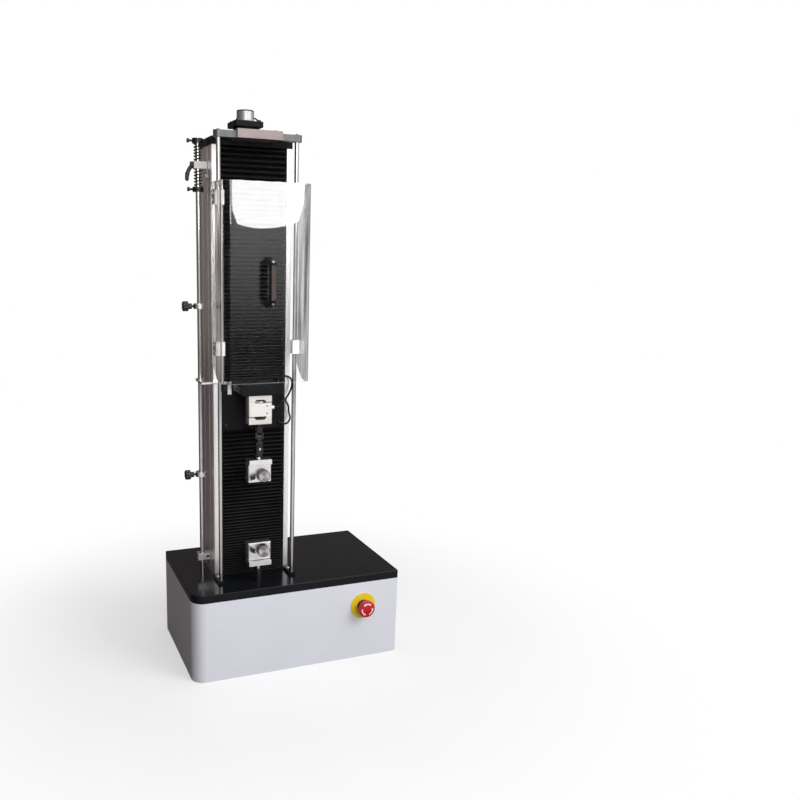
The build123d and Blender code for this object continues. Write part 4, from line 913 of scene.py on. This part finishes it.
def make_fasteners():
    _, bar_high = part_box("guard_crossbar")
    rod_low, rod_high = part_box("guard_rods")
    rod_y = (rod_low.y + rod_high.y) / 2
    inset = (rod_high.y - rod_low.y) / 2
    ends = [rod_low.x + inset, rod_high.x - inset]
    screws(
        "crossbar_end_screw", [Vector((x, rod_y, bar_high.z)) for x in ends], UP, 0.0045, 0.0022,
        DARK_STEEL, "frame", button_head,
    )
    _, block_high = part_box("crossbar_block")
    spots = [
        Vector((COLUMN_X + side * 0.036, y, block_high.z))
        for side in (-1, 1)
        for y in (rod_y, block_high.y - 0.009)
    ]
    screws(
        "crossbar_block_screw", spots, UP, 0.0042, 0.0024, DARK_STEEL, "frame",
        button_head,
    )
    plate_low, plate_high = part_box("column_top_plate")
    spots = [
        Vector((x, y, plate_high.z))
        for x in (plate_low.x + 0.012, plate_high.x - 0.012)
        for y in (plate_low.y + 0.012, plate_high.y - 0.012)
    ]
    screws("top_plate_screw", spots, UP, 0.005, 0.0028, DARK_STEEL, "frame", button_head)
    flange_low, flange_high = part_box("encoder_bracket")
    spots = [
        Vector((x, y, flange_high.z))
        for x in (flange_low.x + 0.008, flange_high.x - 0.008)
        for y in (flange_low.y + 0.008, flange_high.y - 0.008)
    ]
    screws("housing_screw", spots, UP, 0.0038, 0.0036, DARK_STEEL, "frame")
    _, feet_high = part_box("guard_rod_feet")
    spots = [Vector((x, feet_high.y - 0.014, feet_high.z)) for x in ends]
    screws("rod_foot_screw", spots, UP, 0.004, 0.0022, ZINC, "frame", button_head)
    guard_low, guard_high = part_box("guard_shell")
    slider_low, slider_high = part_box("guard_sliders")
    levels = [
        level + offset
        for level in (slider_low.z, slider_high.z - 0.028)
        for offset in (0.007, 0.021)
    ]
    for side, x, towards in (("left", guard_low.x, LEFT), ("right", guard_high.x, RIGHT)):
        spots = [Vector((x, rod_y, level)) for level in levels]
        screws(
            f"slider_screw_{side}", spots, towards, 0.0034, 0.0019, ZINC, "guard",
            button_head,
        )
    handle_low, handle_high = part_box("guard_handle")
    inner_y = guard_low.y + GUARD_SHEET
    spots = [
        Vector((COLUMN_X, inner_y, level))
        for level in (handle_low.z + 0.007, handle_high.z - 0.007)
    ]
    screws("handle_screw", spots, BACK, 0.0042, 0.0022, ZINC, "guard", button_head)
    for name, end, side in (("upper", handle_high.z, 1), ("lower", handle_low.z, -1)):
        at = Vector((middle("guard_handle").x, handle_low.y + 0.0051, end - side * 0.0093))
        screws(
            name + "_grip_screw", [at], Vector((0, -0.574, side * 0.819)), 0.0030, 0.0012, ZINC,
            "guard", button_head,
        )
    cover_low, cover_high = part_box("load_cell_covers")
    spots = [
        Vector((cover_high.x - 0.009, cover_low.y, level))
        for level in (cover_low.z + 0.006, cover_high.z - 0.006)
    ]
    screws(
        "cover_screw", spots, FRONT, 0.0015, 0.0008, DARK_STEEL, "crosshead",
        button_head,
    )
    bracket_low, bracket_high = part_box("limit_rod_bracket")
    level = (bracket_low.z + bracket_high.z) / 2
    screws(
        "bracket_screw", [Vector((bracket_high.x - 0.006, bracket_low.y, level))], FRONT,
        0.0032, 0.002, DARK_STEEL, "frame", button_head,
    )
    for side in ("left", "right"):
        sign = -1 if side == "left" else 1
        spots = [
            Vector((COLUMN_X + sign * 0.060, CARRIAGE_LOW.y, CARRIAGE_LOW.z + rise))
            for rise in (0.012, 0.090)
        ]
        screws(
            f"carriage_screw_{side}", spots, FRONT, 0.0042, 0.0018, DARK_STEEL, "crosshead",
            button_head,
        )
    inlet_low, inlet_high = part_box("power_inlet")
    spots = [
        Vector((x, inlet_high.y, (inlet_low.z + inlet_high.z) / 2))
        for x in (inlet_low.x + 0.003, inlet_high.x - 0.003)
    ]
    screws("inlet_screw", spots, BACK, 0.0016, 0.0008, DARK_STEEL, "frame", button_head)


# Rotary encoder on top: a bright can with a dark rim and foot, and its short cable
def make_encoder():
    low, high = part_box("encoder")
    centre = middle("encoder_bracket")
    radius = 0.018
    height = high.z - low.z
    foot = Vector((centre.x, centre.y, low.z))
    can = add_mesh(
        "encoder_can",
        lathe([(radius - 0.0006, 0.0018), (radius, 0.0026), (radius, height - 0.0030),
               (radius - 0.0006, height - 0.0024)], 64),
        CAN_ALLOY, "frame", foot, UP, smooth=35,
    )
    for name, start, end in (("foot", 0.0, 0.0022), ("rim", height - 0.0026, height)):
        reach = radius - 0.0002
        add_mesh(
            "encoder_" + name,
            lathe([(reach - 0.0003, start), (reach, start + 0.0003), (reach, end - 0.0008),
                   (reach - 0.0008, end), (reach * 0.55, end), (reach * 0.52, end - 0.0003)], 64),
            MATT_BLACK, "frame", foot, UP, smooth=35,
        )
    out = high.x - centre.x - 0.0016
    level = low.z + 0.009
    control = [
        Vector((centre.x + radius - 0.002, centre.y, level)),
        Vector((centre.x + radius + 0.003, centre.y, level + 0.0004)),
        Vector((centre.x + out - 0.001, centre.y, level - 0.0025)),
        Vector((centre.x + out, centre.y, level - 0.006)),
        Vector((centre.x + out, centre.y, low.z)),
    ]
    add_mesh(
        "encoder_cable", along_path(smooth_curve(control), 0.0016, 16), CABLE, "frame",
        smooth=180,
    )
    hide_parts("encoder")


# Dark collars and thumb screws that hold the limit rod's springs
def make_spring_collars():
    _, upper_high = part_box("upper_trip_spring")
    lower_low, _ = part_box("lower_trip_spring")
    centre = middle("upper_trip_spring")
    for name, level in (("upper", upper_high.z + 0.005), ("lower", lower_low.z - 0.005)):
        at = Vector((centre.x, centre.y, level))
        add_mesh(
            name + "_spring_collar_sleeve",
            lathe([(0.0108, -0.0050), (0.0113, -0.0045), (0.0113, 0.0045), (0.0108, 0.0050)], 48),
            DARK_STEEL, "limit_rod", at, UP, smooth=35,
        )
        add_mesh(
            name + "_thumb_screw",
            lathe([(0.0022, 0.0), (0.0022, 0.0078), (0.0038, 0.0078), (0.0043, 0.0083),
                   (0.0043, 0.0115), (0.0036, 0.0122), (0.0012, 0.0122)], 28),
            DARK_STEEL, "limit_rod", at + LEFT * 0.010, LEFT, smooth=35,
        )


# Bright gland of the load cell, and the bright end of one of the coupling's pins
def make_gland_and_pins():
    cell_low, cell_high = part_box("load_cell_body")
    level = (cell_low.z + cell_high.z) / 2 + 0.002
    start = Vector((cell_high.x, (cell_low.y + cell_high.y) / 2, level))
    add_mesh(
        "gland_nut",
        lathe([(0.0054, 0.0002), (0.0058, 0.0006), (0.0058, 0.0050), (0.0050, 0.0056),
               (0.0050, 0.0066), (0.0055, 0.0070), (0.0055, 0.0078), (0.0046, 0.0083),
               (0.0016, 0.0083)], 32),
        PALE_ALLOY, "crosshead", start, RIGHT, smooth=35,
    )
    cross_low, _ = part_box("coupling_cross")
    centre = middle("coupling_cross")
    pin = [(0.0024, -0.0006), (0.0024, 0.0002), (0.0020, 0.0005), (0.0003, 0.0005)]
    screws_at = Vector((centre.x, cross_low.y, cross_low.z + 0.007))
    add_mesh(
        "coupling_pin_end", lathe(pin, 24), SPRING_STEEL, "cross", screws_at,
        FRONT, smooth=35,
    )


# Small bent wire catch on the column's left side
def make_catch():
    side_x = COLUMN_LOW.x
    control = [
        Vector((side_x - 0.0022, -0.006, 1.063)),
        Vector((side_x - 0.0026, -0.016, 1.0575)),
        Vector((side_x - 0.0028, -0.026, 1.0545)),
        Vector((side_x - 0.0024, -0.046, 1.0545)),
    ]
    add_mesh(
        "catch_wire", along_path(smooth_curve(control), 0.0018, 14), WHITE_PLASTIC, "frame",
        smooth=180,
    )
    screws(
        "catch_screw", [control[0], control[-1]], LEFT, 0.0032, 0.0016, DARK_STEEL, "frame",
    )


# Tie round the signal cable
def make_cable_tie():
    centre = mm(-12.6, -61.4, 598.0)
    add_mesh(
        "cable_tie_band",
        lathe(
            [(0.0024, -0.0014), (0.0033, -0.0014), (0.0034, 0), (0.0033, 0.0014), (0.0024, 0.0014)],
            28,
        ),
        MATT_BLACK, "crosshead", centre, Vector((0.1, 0, 1)).normalized(), smooth=35,
    )


# Studio
def make_stage():
    def floor(shape):
        size = 6.0
        corners = [(-size, -size, 0), (size, -size, 0), (size, size, 0), (-size, size, 0)]
        shape.faces.new([shape.verts.new(Vector(c)) for c in corners])

    material, tree, shader = start_material("pale_floor")
    vector = place_coordinates(tree)
    colour = ramp(tree, noise(tree, vector, 6.0), [(0.3, (0.88, 0.88, 0.88)), (0.7, (0.91, 0.91, 0.91))])
    shader.inputs["Roughness"].default_value = 0.6
    shader.inputs["Specular IOR Level"].default_value = 0.1
    distance = tree.nodes.new("ShaderNodeVectorMath")
    distance.operation = "LENGTH"
    tree.links.new(vector, distance.inputs[0])
    fade = tree.nodes.new("ShaderNodeMapRange")
    fade.interpolation_type = "SMOOTHSTEP"
    fade.inputs["From Min"].default_value = 0.36
    fade.inputs["From Max"].default_value = 1.0
    fade.inputs["To Min"].default_value = 0.45
    tree.links.new(distance.outputs["Value"], fade.inputs["Value"])
    path = tree.nodes.new("ShaderNodeLightPath")
    seen = link_math(
        tree, "MAXIMUM", path.outputs["Is Camera Ray"], path.outputs["Is Transmission Ray"]
    )
    bounce = tree.nodes.new("ShaderNodeMix")
    bounce.data_type = "RGBA"
    bounce.inputs["A"].default_value = (0.11, 0.090, 0.084, 1)
    place = tree.nodes.new("ShaderNodeSeparateXYZ")
    tree.links.new(vector, place.inputs["Vector"])
    ahead = tree.nodes.new("ShaderNodeMapRange")
    ahead.inputs["From Min"].default_value = -0.3
    ahead.inputs["From Max"].default_value = -0.9
    tree.links.new(place.outputs["Y"], ahead.inputs["Value"])
    mirrored = link_math(tree, "MULTIPLY", ahead.outputs["Result"], path.outputs["Is Glossy Ray"])
    tree.links.new(link_math(tree, "MAXIMUM", seen, mirrored), bounce.inputs["Factor"])
    tree.links.new(colour, bounce.inputs["B"])
    tree.links.new(bounce.outputs["Result"], shader.inputs["Base Color"])
    white = tree.nodes.new("ShaderNodeEmission")
    blend = tree.nodes.new("ShaderNodeMixShader")
    tree.links.new(link_math(tree, "MULTIPLY", fade.outputs["Result"], seen), blend.inputs["Fac"])
    tree.links.new(shader.outputs["BSDF"], blend.inputs[1])
    tree.links.new(white.outputs["Emission"], blend.inputs[2])
    tree.links.new(blend.outputs["Shader"], tree.nodes["Material Output"].inputs["Surface"])
    ground = add_mesh("floor", floor, material, None)


def add_light(name, at, aim, size, power, colour=(1, 1, 1)):
    data = bpy.data.lights.new(name, "AREA")
    data.shape = "RECTANGLE"
    data.size, data.size_y = size
    data.energy = power
    data.color = colour
    lamp = bpy.data.objects.new(name, data)
    bpy.context.scene.collection.objects.link(lamp)
    direction = Vector(aim) - Vector(at)
    lamp.matrix_world = Matrix.Translation(at) @ direction.to_track_quat("-Z", "Y").to_matrix().to_4x4()
    return lamp


def room_light(tree, stops):
    """How bright the room is towards a direction: windows in front and at the right, dark behind."""
    direction = tree.nodes.new("ShaderNodeTexCoord").outputs["Generated"]
    window = tree.nodes.new("ShaderNodeVectorMath")
    window.operation = "DOT_PRODUCT"
    window.inputs[1].default_value = Vector((0.42, -0.86, 0.28)).normalized()
    tree.links.new(direction, window.inputs[0])
    towards = tree.nodes.new("ShaderNodeMapRange")
    towards.inputs["From Min"].default_value = -1.0
    tree.links.new(window.outputs["Value"], towards.inputs["Value"])
    return ramp(tree, towards.outputs["Result"], stops)


def make_light():
    add_light("key", (1.9, -2.4, 2.6), (0, 0, 0.5), (1.8, 1.8), 60)
    add_light("fill", (-0.5, -3.0, 1.7), (-0.08, 0, 0.5), (1.0, 1.4), 26)
    add_light("top", (0.0, 0.4, 3.2), (0, 0, 0.4), (2.4, 2.4), 34)
    glare = add_light("glare", (0.41, -1.75, 1.30), (-0.08, -0.2, 0.98), (0.66, 0.62), 14)
    glare.data.shape = "ELLIPSE"
    receivers = bpy.data.collections.new("glare_receivers")
    receivers.objects.link(bpy.data.objects["guard_sheet"])
    glare.light_linking.receiver_collection = receivers
    world = bpy.data.worlds.new("studio")
    bpy.context.scene.world = world
    world.use_nodes = True
    tree = world.node_tree
    background = tree.nodes["Background"]
    path = tree.nodes.new("ShaderNodeLightPath")
    seen = link_math(
        tree, "MAXIMUM", path.outputs["Is Camera Ray"], path.outputs["Is Transmission Ray"]
    )
    open_air = tree.nodes.new("ShaderNodeMix")
    open_air.data_type = "RGBA"
    soft = [(0.0, (0.036, 0.025, 0.022)), (0.62, (0.055, 0.043, 0.04)), (0.93, (0.95, 0.96, 1.0))]
    tree.links.new(room_light(tree, soft), open_air.inputs["A"])
    tree.links.new(path.outputs["Is Glossy Ray"], open_air.inputs["Factor"])
    sharp = [(0.0, (0.15, 0.13, 0.128)), (0.64, (0.20, 0.175, 0.168)), (0.88, (1.2, 1.19, 1.19))]
    tree.links.new(room_light(tree, sharp), open_air.inputs["B"])
    backdrop = tree.nodes.new("ShaderNodeMix")
    backdrop.data_type = "RGBA"
    backdrop.inputs["B"].default_value = (1, 1, 1, 1)
    tree.links.new(seen, backdrop.inputs["Factor"])
    tree.links.new(open_air.outputs["Result"], backdrop.inputs["A"])
    tree.links.new(backdrop.outputs["Result"], background.inputs["Color"])
    background.inputs["Strength"].default_value = 1.0


# Camera of the photograph
CAMERA_AT = mm(-597.4, -1737.8, 915.5)
YAW, PITCH, ROLL = math.radians(21.682), math.radians(12.433), math.radians(1.121)
IMAGE_SIZE = 800.0
FOCAL_PIXELS = 825.65
CENTRE_U, CENTRE_V = 318.53, 432.23
SENSOR = 36.0


def make_camera():
    data = bpy.data.cameras.new("photo_camera")
    data.sensor_width = SENSOR
    data.lens = FOCAL_PIXELS * SENSOR / IMAGE_SIZE
    data.shift_x = (IMAGE_SIZE / 2 - CENTRE_U) / IMAGE_SIZE
    data.shift_y = (CENTRE_V - IMAGE_SIZE / 2) / IMAGE_SIZE
    camera = bpy.data.objects.new("photo_camera", data)
    bpy.context.scene.collection.objects.link(camera)
    ahead = Vector((math.sin(YAW) * math.cos(PITCH), math.cos(YAW) * math.cos(PITCH), -math.sin(PITCH)))
    side = Vector((math.cos(YAW), -math.sin(YAW), 0))
    top = side.cross(ahead)
    right = math.cos(ROLL) * side + math.sin(ROLL) * top
    above = -math.sin(ROLL) * side + math.cos(ROLL) * top
    turn = Matrix((right, above, -ahead)).transposed().to_4x4()
    camera.matrix_world = Matrix.Translation(CAMERA_AT) @ turn
    bpy.context.scene.camera = camera


dress_nodes()
make_bellows()
make_springs()
make_guard()
make_clamp_knobs()
make_lock_screws()
make_estop()
make_fasteners()
make_encoder()
make_spring_collars()
make_gland_and_pins()
make_catch()
make_cable_tie()
make_stage()
make_light()
make_camera()
bpy.context.scene.view_settings.view_transform = "Standard"
